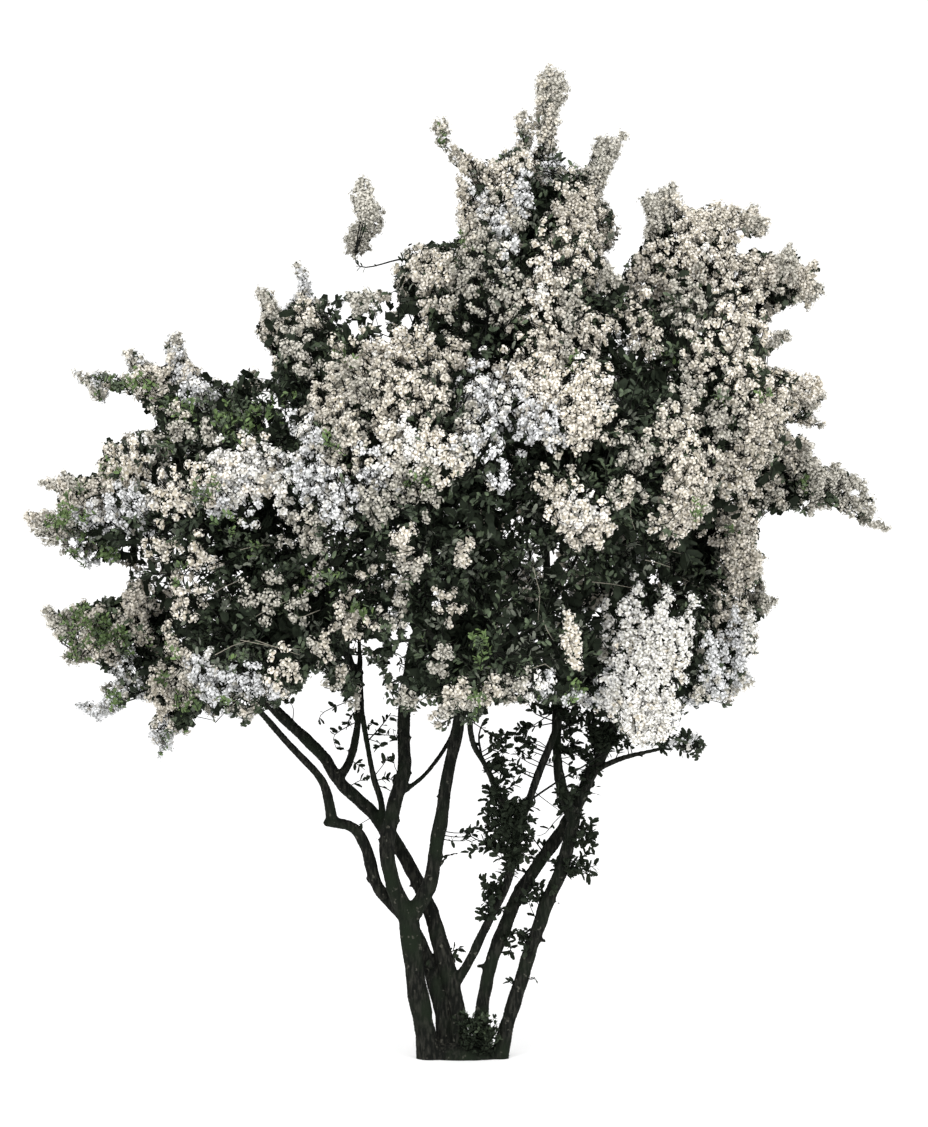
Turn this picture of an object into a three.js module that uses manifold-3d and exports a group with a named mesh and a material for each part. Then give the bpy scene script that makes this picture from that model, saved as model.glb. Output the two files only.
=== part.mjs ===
// A green bark ceanothus in full blossom: a tall broadleaf shrub whose leaning stems rise from one
// root crown, fork into boughs and carry a broad, dense crown of small leaves and blossom panicles.
// Millimetres, +Z up. +X is the plant's right as seen from the front, and -Y faces the front.
// The origin is on the flat cut at ground level, in the middle of the root crown.

import * as THREE from "three";
import { mergeVertices } from "three/addons/utils/BufferGeometryUtils.js";
import Module from "manifold-3d";

const wasm = await Module();
wasm.setup();
const { Manifold, Mesh: SolidMesh } = wasm;
const V = (x, y, z) => new THREE.Vector3(x, y, z);

// Driving sizes
const GAP = 0.3; // clear space between a limb and the limb or mass that it carries
const LIMB_SIDES = 7;
const THIN_LIMB_SIDES = 5;
const THIN_LIMB_RADIUS = 10; // a limb that starts thinner than this has fewer sides
const LIMB_STEP = 120; // length of one straight stretch of a limb
const FLARE_TOP = 58; // height of the collars where the stems leave the root crown
const FLARE_SPREAD = 1.35; // how much wider a collar is at the ground than at its top
const CROWN_MOUND = { halfWidth: 92, halfDepth: 46, height: 40 };
const CELL_MARGIN = 3; // how far a mass keeps inside its own space
const CORE_SHARE = 0.74; // reach of a mass's dense core, as a share of the mass
const SMALLEST_CORED = 85; // a mass with half a height under this has no core
const STALKED_SHARE = 0.3; // share of the sprays that stand clear of the core on a twig
const TWIG_RADIUS = 4;
const STEM_RADIUS = 8;
const LEAF = { length: 150, width: 104, thick: 24 }; // one leaf stands for a spray of small ones
const PANICLE = { length: 150, width: 92, thick: 92 };
const WIDEST = 0.56; // where along its length a leaf or panicle is widest

// The stems and boughs: name, the points that the limb runs through, and its radius at each end
const STEMS = [
  limb("stem_left", 27, 24, [-75, -5, 0], [-105, -8, 125], [-124, -8, 245], [-134, -8, 358]),
  limb("stem_left_back", 20, 13, [-36, 22, 0], [-60, 34, 150], [-125, 46, 320], [-210, 22, 425],
    [-242, 5, 528], [-272, -5, 576], [-338, -15, 592]),
  limb("stem_middle", 21, 18, [-2, 8, 0], [-12, 14, 125], [-50, 32, 270], [-77, 48, 350],
    [-122, 62, 455], [-182, 66, 554]),
  limb("stem_right_inner", 17, 16, [42, 18, 0], [50, 21, 108], [74, 24, 238], [107, 28, 325],
    [134, 31, 395], [186, 38, 472], [262, 47, 576]),
  limb("stem_right", 18, 16, [90, -2, 0], [126, -5, 125], [168, -6, 260], [211, -6, 388],
    [248, -6, 475], [281, -6, 598]),
];
const BOUGHS = [
  limb("bough_elbow", 12, 7, [-323, -15, 587], [-328, -20, 625], [-345, -35, 690], [-428, -95, 790],
    [-528, -200, 915]),
  limb("bough_left", 17, 7, [-182, 66, 554], [-225, 62, 607], [-312, 48, 692], [-348, 40, 750],
    [-485, 20, 885], [-640, 0, 1050], [-760, -10, 1290], [-735, 0, 1580]),
  limb("bough_left_rise", 10, 6, [-312, 48, 692], [-285, 62, 735], [-268, 76, 800], [-264, 92, 895],
    [-330, 160, 1150], [-410, 190, 1450], [-410, 40, 1740]),
  limb("bough_centre", 20, 8, [-134, -8, 350], [-165, -13, 410], [-188, -18, 520], [-170, -12, 622],
    [-146, 2, 720], [-147, 20, 830], [-128, 48, 1000], [-95, 62, 1125], [-110, 60, 1400],
    [-140, 20, 1650], [-120, 0, 1830]),
  limb("bough_thin_left", 8.5, 6, [-200, 64, 580], [-204, 34, 640], [-222, 30, 700], [-240, 48, 788],
    [-252, 58, 865], [-270, 200, 1100], [-330, 330, 1300]),
  limb("bough_front", 19, 8, [-131, -10, 348], [-102, -16, 395], [-80, -22, 445], [-61, -30, 545],
    [-32, -46, 732], [-4, -68, 875], [-5, -130, 1050], [-40, -250, 1250], [-80, -380, 1400]),
  limb("bough_front_right", 8, 6, [-8, -65, 850], [60, -130, 930], [180, -260, 1080],
    [300, -380, 1300]),
  limb("stem_slender", 12, 7, [-20, 18, 180], [16, 5, 238], [75, -22, 362], [113, -38, 442],
    [140, -50, 570], [183, -50, 695], [236, -30, 832], [270, 60, 1000], [370, 330, 1400]),
  limb("bough_forward", 9, 6, [138, -49, 550], [112, -62, 615], [60, -88, 732], [28, -105, 792],
    [20, -300, 990]),
  limb("bough_right", 15, 8, [262, 47, 576], [286, 48, 620], [315, 42, 692], [358, 32, 770],
    [382, 24, 835], [420, 20, 1050], [425, 0, 1400], [440, -10, 1700], [480, 0, 1900]),
  limb("bough_leader", 14, 6, [281, -6, 598], [266, -2, 625], [242, 10, 712], [238, 35, 858],
    [220, 60, 1145], [195, 60, 1520], [190, 30, 1895], [185, 0, 2040]),
  limb("bough_low_right", 8, 5, [320, 40, 702], [345, 28, 722], [398, 5, 748], [475, -30, 770],
    [530, -60, 785]),
  limb("bough_crossing", 6, 5, [-142, 0, 668], [-92, 20, 708], [-30, 60, 795], [40, 330, 1050]),
  limb("bough_right_far", 9, 6, [405, 22, 960], [470, 10, 1080], [620, -5, 1230], [750, 0, 1420],
    [755, 0, 1640], [755, 0, 1850]),
  limb("bough_back", 8, 6, [225, 54, 1080], [170, 180, 1200], [0, 450, 1430]),
  limb("bough_top_front", 7, 5, [195, 60, 1500], [160, -60, 1620], [130, -220, 1740]),
  limb("bough_top_back", 7, 5, [193, 50, 1620], [170, 150, 1720], [150, 280, 1800]),
  limb("bough_front_upper", 7, 5, [-102, 60, 1250], [-140, -80, 1430], [-200, -250, 1590]),
  limb("bough_front_left", 7, 5, [-266, 94, 905], [-320, -40, 1080], [-460, -220, 1280]),
  limb("bough_front_skirt", 6, 5, [386, 24, 850], [430, -100, 900], [460, -220, 960]),
  limb("bough_front_far", 7, 5, [424, 2, 1380], [470, -100, 1460], [520, -220, 1550]),
];

// The masses of leaves and blossom: name, heart, half sizes, share of panicles among the sprays,
// number of shoots, and spurs, the long sprays that reach out of the mass: tip, length and girth,
// and the point that the spur bends round where it doesn't run straight from the heart
const BLOSSOM = 0.62;
const LEAFY = 0.3;
const MASSES = [
  mass("crown_top", [185, 0, 2085], [235, 240, 200], BLOSSOM, 14,
    spur([220, 0, 2490], 240, 44), spur([-62, -20, 2352], 120, 24), spur([400, 10, 2315], 150, 40),
    spur([145, 0, 2370], 120, 28), spur([-8, -10, 2285], 90, 34), spur([398, 0, 2190], 100, 36)),
  mass("crown_upper_left", [-85, -20, 1930], [145, 245, 155], BLOSSOM, 10,
    spur([-235, 0, 2195], 130, 44, [-310, 0, 1975])),
  mass("left_upper", [-430, 0, 1800], [130, 220, 160], LEAFY, 11,
    spur([-410, 0, 1990], 110, 30), spur([-500, -20, 1920], 60, 24)),
  mass("left_shoulder", [-705, 0, 1665], [220, 215, 140], LEAFY, 11,
    spur([-972, -10, 1720], 100, 28), spur([-848, 0, 1778], 90, 28), spur([-712, -10, 1815], 110, 34)),
  mass("left_far", [-865, 0, 1415], [195, 235, 185], BLOSSOM, 12,
    spur([-1092, 0, 1358], 110, 40), spur([-1062, 20, 1445], 60, 22), spur([-992, -10, 1258], 80, 34)),
  mass("left_low", [-835, 0, 1080], [205, 215, 135], LEAFY, 10,
    spur([-1047, 0, 1120], 80, 34), spur([-997, -20, 1008], 80, 30), spur([-980, -40, 875], 130, 26)),
  mass("left_skirt", [-670, -60, 930], [220, 200, 130], BLOSSOM, 10,
    spur([-755, -80, 758], 110, 30)),
  mass("right_top", [550, 0, 1965], [190, 230, 200], BLOSSOM, 11,
    spur([500, 0, 2195], 80, 40), spur([385, -40, 1840], 80, 44)),
  mass("right_upper_far", [765, 0, 1950], [150, 190, 150], BLOSSOM, 10,
    spur([765, 0, 2108], 70, 28), spur([895, -10, 1980], 70, 28), spur([895, -20, 1885], 60, 30)),
  mass("right_middle", [725, 0, 1680], [180, 215, 170], BLOSSOM, 10,
    spur([908, 0, 1695], 90, 36), spur([915, 0, 1590], 60, 22), spur([800, -10, 1825], 60, 36)),
  mass("right_shoot", [820, 0, 1445], [140, 150, 110], BLOSSOM, 8,
    spur([1065, 0, 1328], 150, 30), spur([995, 0, 1445], 90, 36)),
  mass("right_low", [630, 0, 1295], [190, 225, 190], BLOSSOM, 10, spur([812, 0, 1150], 80, 36)),
  mass("right_skirt", [645, -40, 1030], [135, 170, 165], BLOSSOM, 9),
  mass("right_front_skirt", [465, -330, 985], [150, 160, 230], 0.85, 10),
  mass("right_inner_skirt", [310, -40, 960], [120, 140, 130], LEAFY, 8),
  mass("right_low_tip", [585, -70, 788], [70, 60, 45], 0.2, 8),
  mass("front_top", [120, -330, 1775], [300, 260, 280], BLOSSOM, 11),
  mass("front_upper_left", [-230, -360, 1670], [275, 260, 220], BLOSSOM, 11),
  mass("front_left", [-530, -340, 1395], [320, 275, 290], BLOSSOM, 12),
  mass("front_middle", [-105, -560, 1420], [335, 275, 290], BLOSSOM, 12),
  mass("front_middle_right", [295, -520, 1455], [305, 275, 280], BLOSSOM, 12),
  mass("front_right", [545, -330, 1620], [250, 260, 280], BLOSSOM, 11),
  mass("front_low_left", [-405, -380, 1070], [315, 275, 250], BLOSSOM, 11,
    spur([-205, -330, 1190], 60, 44)),
  mass("front_low", [20, -470, 1040], [310, 265, 230], LEAFY, 11),
  mass("back_top", [150, 380, 1850], [320, 265, 250], BLOSSOM, 10),
  mass("back_left", [-480, 380, 1560], [320, 295, 280], BLOSSOM, 10),
  mass("back_middle", [-40, 620, 1450], [345, 290, 265], BLOSSOM, 10),
  mass("back_right", [480, 420, 1600], [305, 280, 280], BLOSSOM, 10),
  mass("back_low_left", [-420, 400, 1080], [310, 280, 210], LEAFY, 10),
  mass("back_low", [30, 520, 1060], [310, 265, 210], LEAFY, 10),
  mass("back_low_right", [430, 380, 1120], [290, 265, 225], BLOSSOM, 10),
  mass("inner_shoots", [125, -60, 605], [75, 70, 105], 0, 8),
  mass("outer_shoots", [308, -10, 560], [32, 45, 105], 0, 6),
];

// Colours of the bark and of the masses, by their share of blossom
const BARK = new THREE.MeshStandardMaterial({ color: 0x2e322b, roughness: 0.9 });
const LEAVES = new THREE.MeshStandardMaterial({ color: 0x3c5230, roughness: 0.75 });
const BLOSSOMS = new THREE.MeshStandardMaterial({ color: 0xd8cdbd, roughness: 0.8 });

function limb(name, radius, tipRadius, ...points) {
  return { name, radius, tipRadius, points: points.map((p) => V(...p)) };
}

function spur(tip, length, girth, bend) {
  return { tip: V(...tip), length, girth, bend: bend && V(...bend) };
}

function mass(name, heart, half, blossom, shoots, ...spurs) {
  return { name, heart: V(...heart), half: V(...half), blossom, shoots, spurs };
}

// A seeded source of even random numbers from 0 to 1, the same on every run
function seeded(text) {
  let state = [...text].reduce((sum, letter) => (sum * 31 + letter.charCodeAt(0)) >>> 0, 7);
  return () => {
    state = (state + 0x6d2b79f5) >>> 0;
    let t = Math.imul(state ^ (state >>> 15), 1 | state);
    t = (t + Math.imul(t ^ (t >>> 7), 61 | t)) ^ t;
    return ((t ^ (t >>> 14)) >>> 0) / 4294967296;
  };
}

// Between a three.js geometry and a solid
function solidOf(geometry) {
  const bare = new THREE.BufferGeometry();
  bare.setAttribute("position", geometry.getAttribute("position"));
  if (geometry.index) bare.setIndex(geometry.index);
  const merged = mergeVertices(bare, 1e-3);
  const corners = merged.index.array;
  const triangles = [];
  for (let i = 0; i < corners.length; i += 3) {
    const [a, b, c] = corners.subarray(i, i + 3);
    if (a !== b && b !== c && c !== a) triangles.push(a, b, c);
  }
  return new Manifold(new SolidMesh({
    numProp: 3,
    vertProperties: new Float32Array(merged.attributes.position.array),
    triVerts: new Uint32Array(triangles),
  }));
}

function geometryOf(solid) {
  const mesh = solid.getMesh();
  const geometry = new THREE.BufferGeometry();
  geometry.setAttribute("position", new THREE.BufferAttribute(new Float32Array(mesh.vertProperties), 3));
  geometry.setIndex(new THREE.BufferAttribute(new Uint32Array(mesh.triVerts), 1));
  return geometry;
}

function largestBody(solid) {
  return solid.decompose().reduce((a, b) => (b.volume() > a.volume() ? b : a));
}

function boxesMeet(a, b) {
  const p = a.boundingBox();
  const q = b.boundingBox();
  return [0, 1, 2].every((i) => p.min[i] <= q.max[i] && q.min[i] <= p.max[i]);
}

function isClear(solid, others) {
  return others.every((other) => !boxesMeet(solid, other) || solid.intersect(other).isEmpty());
}

// A tapering round limb: a cylinder whose rings follow a smooth curve through the limb's points
function limbSolid({ points, radius, tipRadius }, grow = 0) {
  const curve = new THREE.CatmullRomCurve3(points, false, "centripetal");
  const steps = Math.max(2, Math.round(curve.getLength() / LIMB_STEP));
  const sides = radius < THIN_LIMB_RADIUS ? THIN_LIMB_SIDES : LIMB_SIDES;
  return bentTube(curve, steps, sides, (t) => THREE.MathUtils.lerp(radius, tipRadius, t), grow);
}

function bentTube(curve, steps, sides, radiusAt, grow = 0) {
  const geometry = new THREE.CylinderGeometry(1, 1, 1, sides, steps);
  const frames = curve.computeFrenetFrames(steps, false);
  const position = geometry.getAttribute("position");
  for (let i = 0; i < position.count; i++) {
    const ring = Math.round((position.getY(i) + 0.5) * steps);
    const r = radiusAt(ring / steps) + grow;
    const past = ring === 0 ? -grow : ring === steps ? grow : 0;
    const p = curve.getPointAt(ring / steps)
      .addScaledVector(frames.tangents[ring], past)
      .addScaledVector(frames.normals[ring], position.getX(i) * r)
      .addScaledVector(frames.binormals[ring], -position.getZ(i) * r);
    position.setXYZ(i, p.x, p.y, p.z);
  }
  return solidOf(geometry);
}

// The root crown: a low mound and a flared collar for each stem, cut flat at the ground
function rootCrown() {
  const { halfWidth, halfDepth, height } = CROWN_MOUND;
  const profile = [[0, -5], [1, -5], [0.96, 0.35], [0.75, 0.75], [0.4, 0.96], [0, 1]]
    .map(([r, z]) => new THREE.Vector2(r, z));
  const mound = new THREE.LatheGeometry(profile, 12)
    .rotateX(Math.PI / 2)
    .scale(halfWidth, halfDepth, height);
  const collars = STEMS.map((stem) => {
    const rise = new THREE.CatmullRomCurve3(stem.points, false, "centripetal");
    const share = FLARE_TOP / rise.getLength();
    const top = rise.getPointAt(share);
    const foot = V(...stem.points[0]);
    const buried = foot.clone().addScaledVector(top.clone().sub(foot), -0.5);
    const line = new THREE.LineCurve3(buried, top);
    return bentTube(line, 3, LIMB_SIDES, (t) => stem.radius * (1.06 + (FLARE_SPREAD - 1) * (1 - t) ** 2));
  });
  const below = solidOf(new THREE.BoxGeometry(600, 600, 400).translate(0, 0, -200));
  return Manifold.union([solidOf(mound), ...collars]).subtract(below);
}

// A mass keeps to its own convex space: the points that lie nearer to its heart than to any other,
// each distance being measured from the surface of a round mass of the same mean size
function meanSize({ half }) {
  return (0.85 * (half.x + half.y + half.z)) / 3;
}

function roomAt(point, own) {
  let room = Infinity;
  for (const other of MASSES) {
    if (other === own) continue;
    const far = point.distanceToSquared(other.heart) - meanSize(other) ** 2;
    const near = point.distanceToSquared(own.heart) - meanSize(own) ** 2;
    room = Math.min(room, (far - near) / (2 * other.heart.distanceTo(own.heart)));
  }
  return room;
}

// How far a ray from the heart runs before it leaves the mass's space
function reachInSpace(direction, own, limit) {
  let reach = limit;
  while (reach > 0 && roomAt(own.heart.clone().addScaledVector(direction, reach), own) < CELL_MARGIN) {
    reach -= 4;
  }
  return Math.max(reach, 0);
}

function ellipsoidReach(direction, { half }) {
  return 1 / Math.hypot(direction.x / half.x, direction.y / half.y, direction.z / half.z);
}

// Even directions over a sphere, each turned a little by chance
function evenDirections(count, random) {
  const golden = Math.PI * (3 - Math.sqrt(5));
  const turn = random() * 2 * Math.PI;
  return Array.from({ length: count }, (_, i) => {
    const z = 1 - (2 * i + 1) / count;
    const flat = Math.sqrt(1 - z * z);
    const angle = turn + golden * i;
    return V(flat * Math.cos(angle), flat * Math.sin(angle), z)
      .addScaledVector(V(random() - 0.5, random() - 0.5, random() - 0.5), 0.3)
      .normalize();
  });
}

// A straight body with flat sides along a line; each ring is [height, half width, half thickness]
function ringedSolid(sides, rings, start, direction, spin = 0) {
  const geometry = new THREE.CylinderGeometry(1, 1, 1, sides, rings.length - 1);
  const position = geometry.getAttribute("position");
  for (let i = 0; i < position.count; i++) {
    const [height, wide, thick] = rings[Math.round((position.getY(i) + 0.5) * (rings.length - 1))];
    position.setXYZ(i, position.getX(i) * wide, height, position.getZ(i) * thick);
  }
  const turn = new THREE.Quaternion().setFromUnitVectors(V(0, 1, 0), direction);
  geometry.rotateY(spin).applyQuaternion(turn);
  return solidOf(geometry.translate(start.x, start.y, start.z));
}

function twig(start, end, radius, tipRadius) {
  const line = end.clone().sub(start);
  const length = line.length();
  return ringedSolid(3, [[0, radius, radius], [length, tipRadius, tipRadius]], start, line.normalize());
}

// A leaf or panicle of eight faces, its root at the start of the line
function spray(kind, size, root, direction, spin) {
  const [length, wide, thick] = [kind.length, kind.width / 2, kind.thick / 2].map((v) => v * size);
  return ringedSolid(4, [[0, 0, 0], [WIDEST * length, wide, thick], [length, 0, 0]], root, direction, spin);
}

// The same on a stalk of its own
function stalkedSpray(kind, size, stalk, root, direction, spin) {
  const [length, wide, thick] = [kind.length, kind.width / 2, kind.thick / 2].map((v) => v * size);
  return ringedSolid(4, [
    [0, TWIG_RADIUS, TWIG_RADIUS],
    [stalk, TWIG_RADIUS * 0.7, TWIG_RADIUS * 0.7],
    [stalk + WIDEST * length, wide, thick],
    [stalk + length, 0, 0],
  ], root, direction, spin);
}

function staysInside(solid, own) {
  const { vertProperties } = solid.getMesh();
  for (let i = 0; i < vertProperties.length; i += 3) {
    const [x, y, z] = vertProperties.subarray(i, i + 3);
    if (z < CELL_MARGIN || roomAt(V(x, y, z), own) < CELL_MARGIN) return false;
  }
  return true;
}

// The dense core of a mass, held inside the mass's space
function coreSolid(own) {
  const geometry = mergeVertices(new THREE.OctahedronGeometry(1, 1).deleteAttribute("normal")
    .deleteAttribute("uv"));
  const position = geometry.getAttribute("position");
  const random = seeded(own.name + " core");
  for (let i = 0; i < position.count; i++) {
    const direction = V(position.getX(i), position.getY(i), position.getZ(i)).normalize();
    const share = CORE_SHARE * (0.85 + 0.3 * random());
    const reach = reachInSpace(direction, own, share * ellipsoidReach(direction, own));
    const p = own.heart.clone().addScaledVector(direction, reach);
    position.setXYZ(i, p.x, p.y, p.z);
  }
  return solidOf(geometry);
}

// Where the mass's stem leaves the limbs: the point of a limb's axis in its space nearest to its heart
function stemRoot(own, limbs) {
  let best = null;
  for (const { curve } of limbs) {
    for (const point of curve.getSpacedPoints(60)) {
      if (roomAt(point, own) < STEM_RADIUS + CELL_MARGIN) continue;
      const distance = point.distanceTo(own.heart);
      if (!best || distance < best.distance) best = { point, distance };
    }
  }
  if (!best) throw new Error(own.name + ": no limb reaches its space");
  return best.point;
}

// A mass: a stem from the limbs to its heart, a core in the larger masses, sprays all round it,
// some sunk in the core and some on a stalk with a leaf beside them, and the long spurs
function massSolid(own, limbs, limbSolids) {
  const random = seeded(own.name);
  const chance = (size) => V(random() - 0.5, random() - 0.5, random() - 0.5).multiplyScalar(size);
  const kept = [twig(stemRoot(own, limbs), own.heart, STEM_RADIUS, STEM_RADIUS * 0.7)];
  const add = (shapeAt) => {
    const solid = [1, 0.8, 0.6].map(shapeAt)
      .find((shape) => staysInside(shape, own) && isClear(shape, limbSolids));
    if (solid) kept.push(solid);
    return Boolean(solid);
  };
  const dense = own.half.z > SMALLEST_CORED;
  if (dense) kept.push(coreSolid(own));

  for (const direction of evenDirections(own.shoots, random)) {
    const full = ellipsoidReach(direction, own);
    const room = reachInSpace(direction, own, full);
    if (room < (CORE_SHARE + 0.12) * full) continue;
    const kind = random() < own.blossom ? PANICLE : LEAF;
    const stalked = random() < STALKED_SHARE;
    const root = own.heart.clone().addScaledVector(direction, dense ? 0.4 * CORE_SHARE * full : 0);
    const tip = own.heart.clone().addScaledVector(direction, room * (stalked ? 1 : 0.9 + 0.1 * random()));
    const line = tip.sub(root);
    const length = line.length();
    line.normalize();
    const spin = random() * Math.PI;
    if (stalked) {
      const stalk = 0.3 * length;
      add((k) => stalkedSpray(kind, (k * (length - stalk)) / kind.length, stalk, root, line, spin));
      const aside = line.clone().add(chance(1.8)).normalize();
      add((k) => spray(LEAF, 0.8 * k, root.clone().addScaledVector(line, 0.7 * stalk), aside, spin));
    } else {
      add((k) => spray(kind, (k * length) / kind.length, root, line, spin));
    }
  }
  own.spurs.forEach((reaching) => addSpur(reaching, own, add, chance));

  const nearLimbs = limbSolids.filter((solid) => kept.some((piece) => boxesMeet(piece, solid)));
  return largestBody(Manifold.union(kept).subtract(Manifold.union(nearLimbs)).simplify(0.1));
}

// A spur: a bent twig from the heart, a panicle that ends at its tip, and sprays down its length
function addSpur({ tip, length, girth, bend }, own, add, chance) {
  const line = tip.clone().sub(own.heart);
  const size = THREE.MathUtils.clamp(girth / 34, 0.55, 1.2);
  const last = tip.clone().sub(bend ?? own.heart).normalize().add(V(0, 0, 0.25)).normalize();
  const end = tip.clone().addScaledVector(last, -PANICLE.length * size * 0.8);
  const sagged = own.heart.clone().addScaledVector(line, 0.5).add(V(0, 0, -0.07 * line.length()));
  const curve = new THREE.QuadraticBezierCurve3(own.heart, bend ?? sagged, end);
  const total = curve.getLength();
  add(() => bentTube(curve, 3, 3, (t) => THREE.MathUtils.lerp(TWIG_RADIUS + 1, 2.2, t)));
  add((k) => spray(PANICLE, size * k, tip.clone().addScaledVector(last, -PANICLE.length * size * k), last, 0));
  const kind = own.blossom > 0.5 ? PANICLE : LEAF;
  for (let back = 0; back < length - 40; back += 55) {
    const at = Math.max(0, 1 - back / total);
    const direction = curve.getTangentAt(at).add(chance(1.5)).normalize();
    add((k) => spray(kind, size * 0.7 * k, curve.getPointAt(at), direction, 0));
  }
}

// The plant: the root crown, each limb cut clear of the limbs before it, then the masses
const plant = new THREE.Group();
plant.name = "green_bark_ceanothus";

function place(name, solid, material) {
  const mesh = new THREE.Mesh(geometryOf(solid), material);
  mesh.name = name;
  plant.add(mesh);
}

const foot = rootCrown();
place("root_crown", foot, BARK);
const grownFoot = Manifold.union([foot, ...[GAP, -GAP].flatMap((d) => [
  foot.translate([d, 0, 0]), foot.translate([0, d, 0]), foot.translate([0, 0, Math.abs(d)]),
])]);
const grown = [grownFoot];
const limbs = [...STEMS, ...BOUGHS];
for (const own of limbs) {
  own.curve = new THREE.CatmullRomCurve3(own.points, false, "centripetal");
  const whole = limbSolid(own);
  const inTheWay = grown.filter((other) => boxesMeet(whole, other));
  const cut = inTheWay.length ? whole.subtract(Manifold.union(inTheWay)) : whole;
  place(own.name, largestBody(cut), BARK);
  grown.push(limbSolid(own, GAP));
}
for (const own of MASSES) {
  const solid = massSolid(own, limbs, grown);
  place(own.name, solid, own.blossom > 0.5 ? BLOSSOMS : LEAVES);
}

export default plant;
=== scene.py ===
"""A green bark ceanothus in blossom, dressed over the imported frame.

Its bark, twigs, leaves and panicles grow on from the stems and boughs by the rule that the solids
were grown with. Everything is in metres, +Z up, +X is the plant's right seen from the front, and
-Y faces the front. The tables of limbs and masses are in millimetres, as the solids' source is.
"""

from __future__ import annotations

import logging
import math
from dataclasses import dataclass, field
from enum import Enum, IntEnum
from functools import lru_cache

import bmesh
import bpy
import numpy as np
from mathutils import Matrix, Vector, kdtree, noise

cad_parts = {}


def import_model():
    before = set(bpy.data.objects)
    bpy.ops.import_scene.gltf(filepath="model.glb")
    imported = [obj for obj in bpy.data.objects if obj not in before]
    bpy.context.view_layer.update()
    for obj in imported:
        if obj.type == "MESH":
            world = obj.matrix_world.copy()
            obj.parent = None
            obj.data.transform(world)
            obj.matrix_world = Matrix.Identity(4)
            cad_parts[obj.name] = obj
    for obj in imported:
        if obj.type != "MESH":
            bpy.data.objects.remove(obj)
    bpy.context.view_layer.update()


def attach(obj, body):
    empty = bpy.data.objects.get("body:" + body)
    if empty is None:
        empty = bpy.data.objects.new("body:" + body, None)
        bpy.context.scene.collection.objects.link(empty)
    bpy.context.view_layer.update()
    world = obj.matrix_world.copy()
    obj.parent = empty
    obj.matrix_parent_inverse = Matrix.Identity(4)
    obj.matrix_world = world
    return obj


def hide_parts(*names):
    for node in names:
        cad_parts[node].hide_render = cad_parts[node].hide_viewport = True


log = logging.getLogger("ceanothus")

Colour = tuple[float, float, float]
Radii = tuple[float, float]  # at a twig's start and at its end

UP = np.array([0.0, 0.0, 1.0])
FRONT = np.array([0.0, -1.0, 0.0])
GOLDEN_TURN = math.pi * (3 - math.sqrt(5))
GOLDEN_SHARE = 0.618
MILLIMETRE = 0.001
SQUARE_MILLIMETRES = 1e6  # in a square metre
WORD = 0xFFFFFFFF  # the largest whole number of 32 bits
BACK_DEPTH = 0.12  # from this y on, the crown is the back that no pixel shows
FAR_AWAY = 1e9


def unit(vectors: np.ndarray) -> np.ndarray:
    """Vectors of length one along the given ones."""
    return vectors / np.maximum(np.linalg.norm(vectors, axis=-1, keepdims=True), 1e-9)


def metres(*values: float) -> np.ndarray:
    """A point or size given in millimetres, in metres."""
    return np.array(values, float) * MILLIMETRE


# ---------------------------------------------------------------------------------------------
# The picture's frame


@dataclass(frozen=True)
class Picture:
    """The photograph's frame, and where its pixels lie on the plant."""

    width: int = 928
    height: int = 1127
    metres_per_pixel: float = 0.0025
    distance: float = 8.0
    eye_x: float = 0.005
    eye_z: float = 1.236
    sensor: float = 36.0

    @property
    def eye(self) -> np.ndarray:
        """Where the camera stands."""
        return np.array([self.eye_x, -self.distance, self.eye_z])

    @property
    def lens(self) -> float:
        """The focal length that shows the frame's long side at the plant's distance."""
        return self.sensor * self.distance / (self.height * self.metres_per_pixel)

    def point(self, px: float, py: float, depth: float = 0.0) -> np.ndarray:
        """The point behind a pixel.

        Args:
            px: Pixels from the picture's left edge.
            py: Pixels from its top edge.
            depth: The point's y.

        Returns:
            The point in metres.
        """
        size = self.metres_per_pixel * (self.distance + depth) / self.distance
        return np.array([
            self.eye_x + (px - self.width / 2) * size,
            depth,
            self.eye_z - (py - self.height / 2) * size,
        ])

    def pixels(self, points: np.ndarray) -> np.ndarray:
        """The pixels at which points are seen.

        Args:
            points: Points, one a row.

        Returns:
            Their px and py, one a row.
        """
        size = self.metres_per_pixel * (self.distance + points[..., 1]) / self.distance
        return np.stack([
            self.width / 2 + (points[..., 0] - self.eye_x) / size,
            self.height / 2 - (points[..., 2] - self.eye_z) / size,
        ], -1)


PICTURE = Picture()


# ---------------------------------------------------------------------------------------------
# Finishes


@dataclass(frozen=True)
class Finish:
    """The look of one kind of leaf, petal or twig, or of the floor."""

    name: str
    colour: Colour
    shade: Colour
    roughness: float = 0.6
    grain: float = 38.0
    specular: float = 0.3


@dataclass(frozen=True)
class BarkFinish:
    """The look of the bark: its furrows, ridges, moss and lichen, and how strong its relief is."""

    name: str = "bark"
    furrow: Colour = (0.0045, 0.0051, 0.0042)
    ridge: Colour = (0.0250, 0.0250, 0.0205)
    moss: Colour = (0.0085, 0.0125, 0.0072)
    lichen: Colour = (0.055, 0.054, 0.044)
    roughness: float = 0.90
    specular: float = 0.08
    relief: float = 0.9
    relief_height: float = 0.0030


class Green(Enum):
    """The greens of the leaves."""

    # the darkest green, for the leaves deep in the crown and on the shoots under it; on the inner leaves
    # its darkness is partly painted shade of the crown's inside
    SHADE = Finish("leaf_shade", (0.0230, 0.0300, 0.0195), (0.0115, 0.0152, 0.0102), 0.75, specular=0.04)
    # also the green of the leaves inside each mass, there as painted shade
    DEEP = Finish("leaf_deep", (0.0400, 0.0540, 0.0330), (0.0200, 0.0270, 0.0175), 0.65, specular=0.12)
    MID = Finish("leaf_mid", (0.080, 0.106, 0.062), (0.042, 0.056, 0.034), 0.60, specular=0.18)
    GREY = Finish("leaf_grey", (0.130, 0.142, 0.112), (0.064, 0.074, 0.056), 0.66, specular=0.18)
    FRESH = Finish("leaf_fresh", (0.120, 0.178, 0.066), (0.058, 0.090, 0.036), 0.55, specular=0.18)


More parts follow.
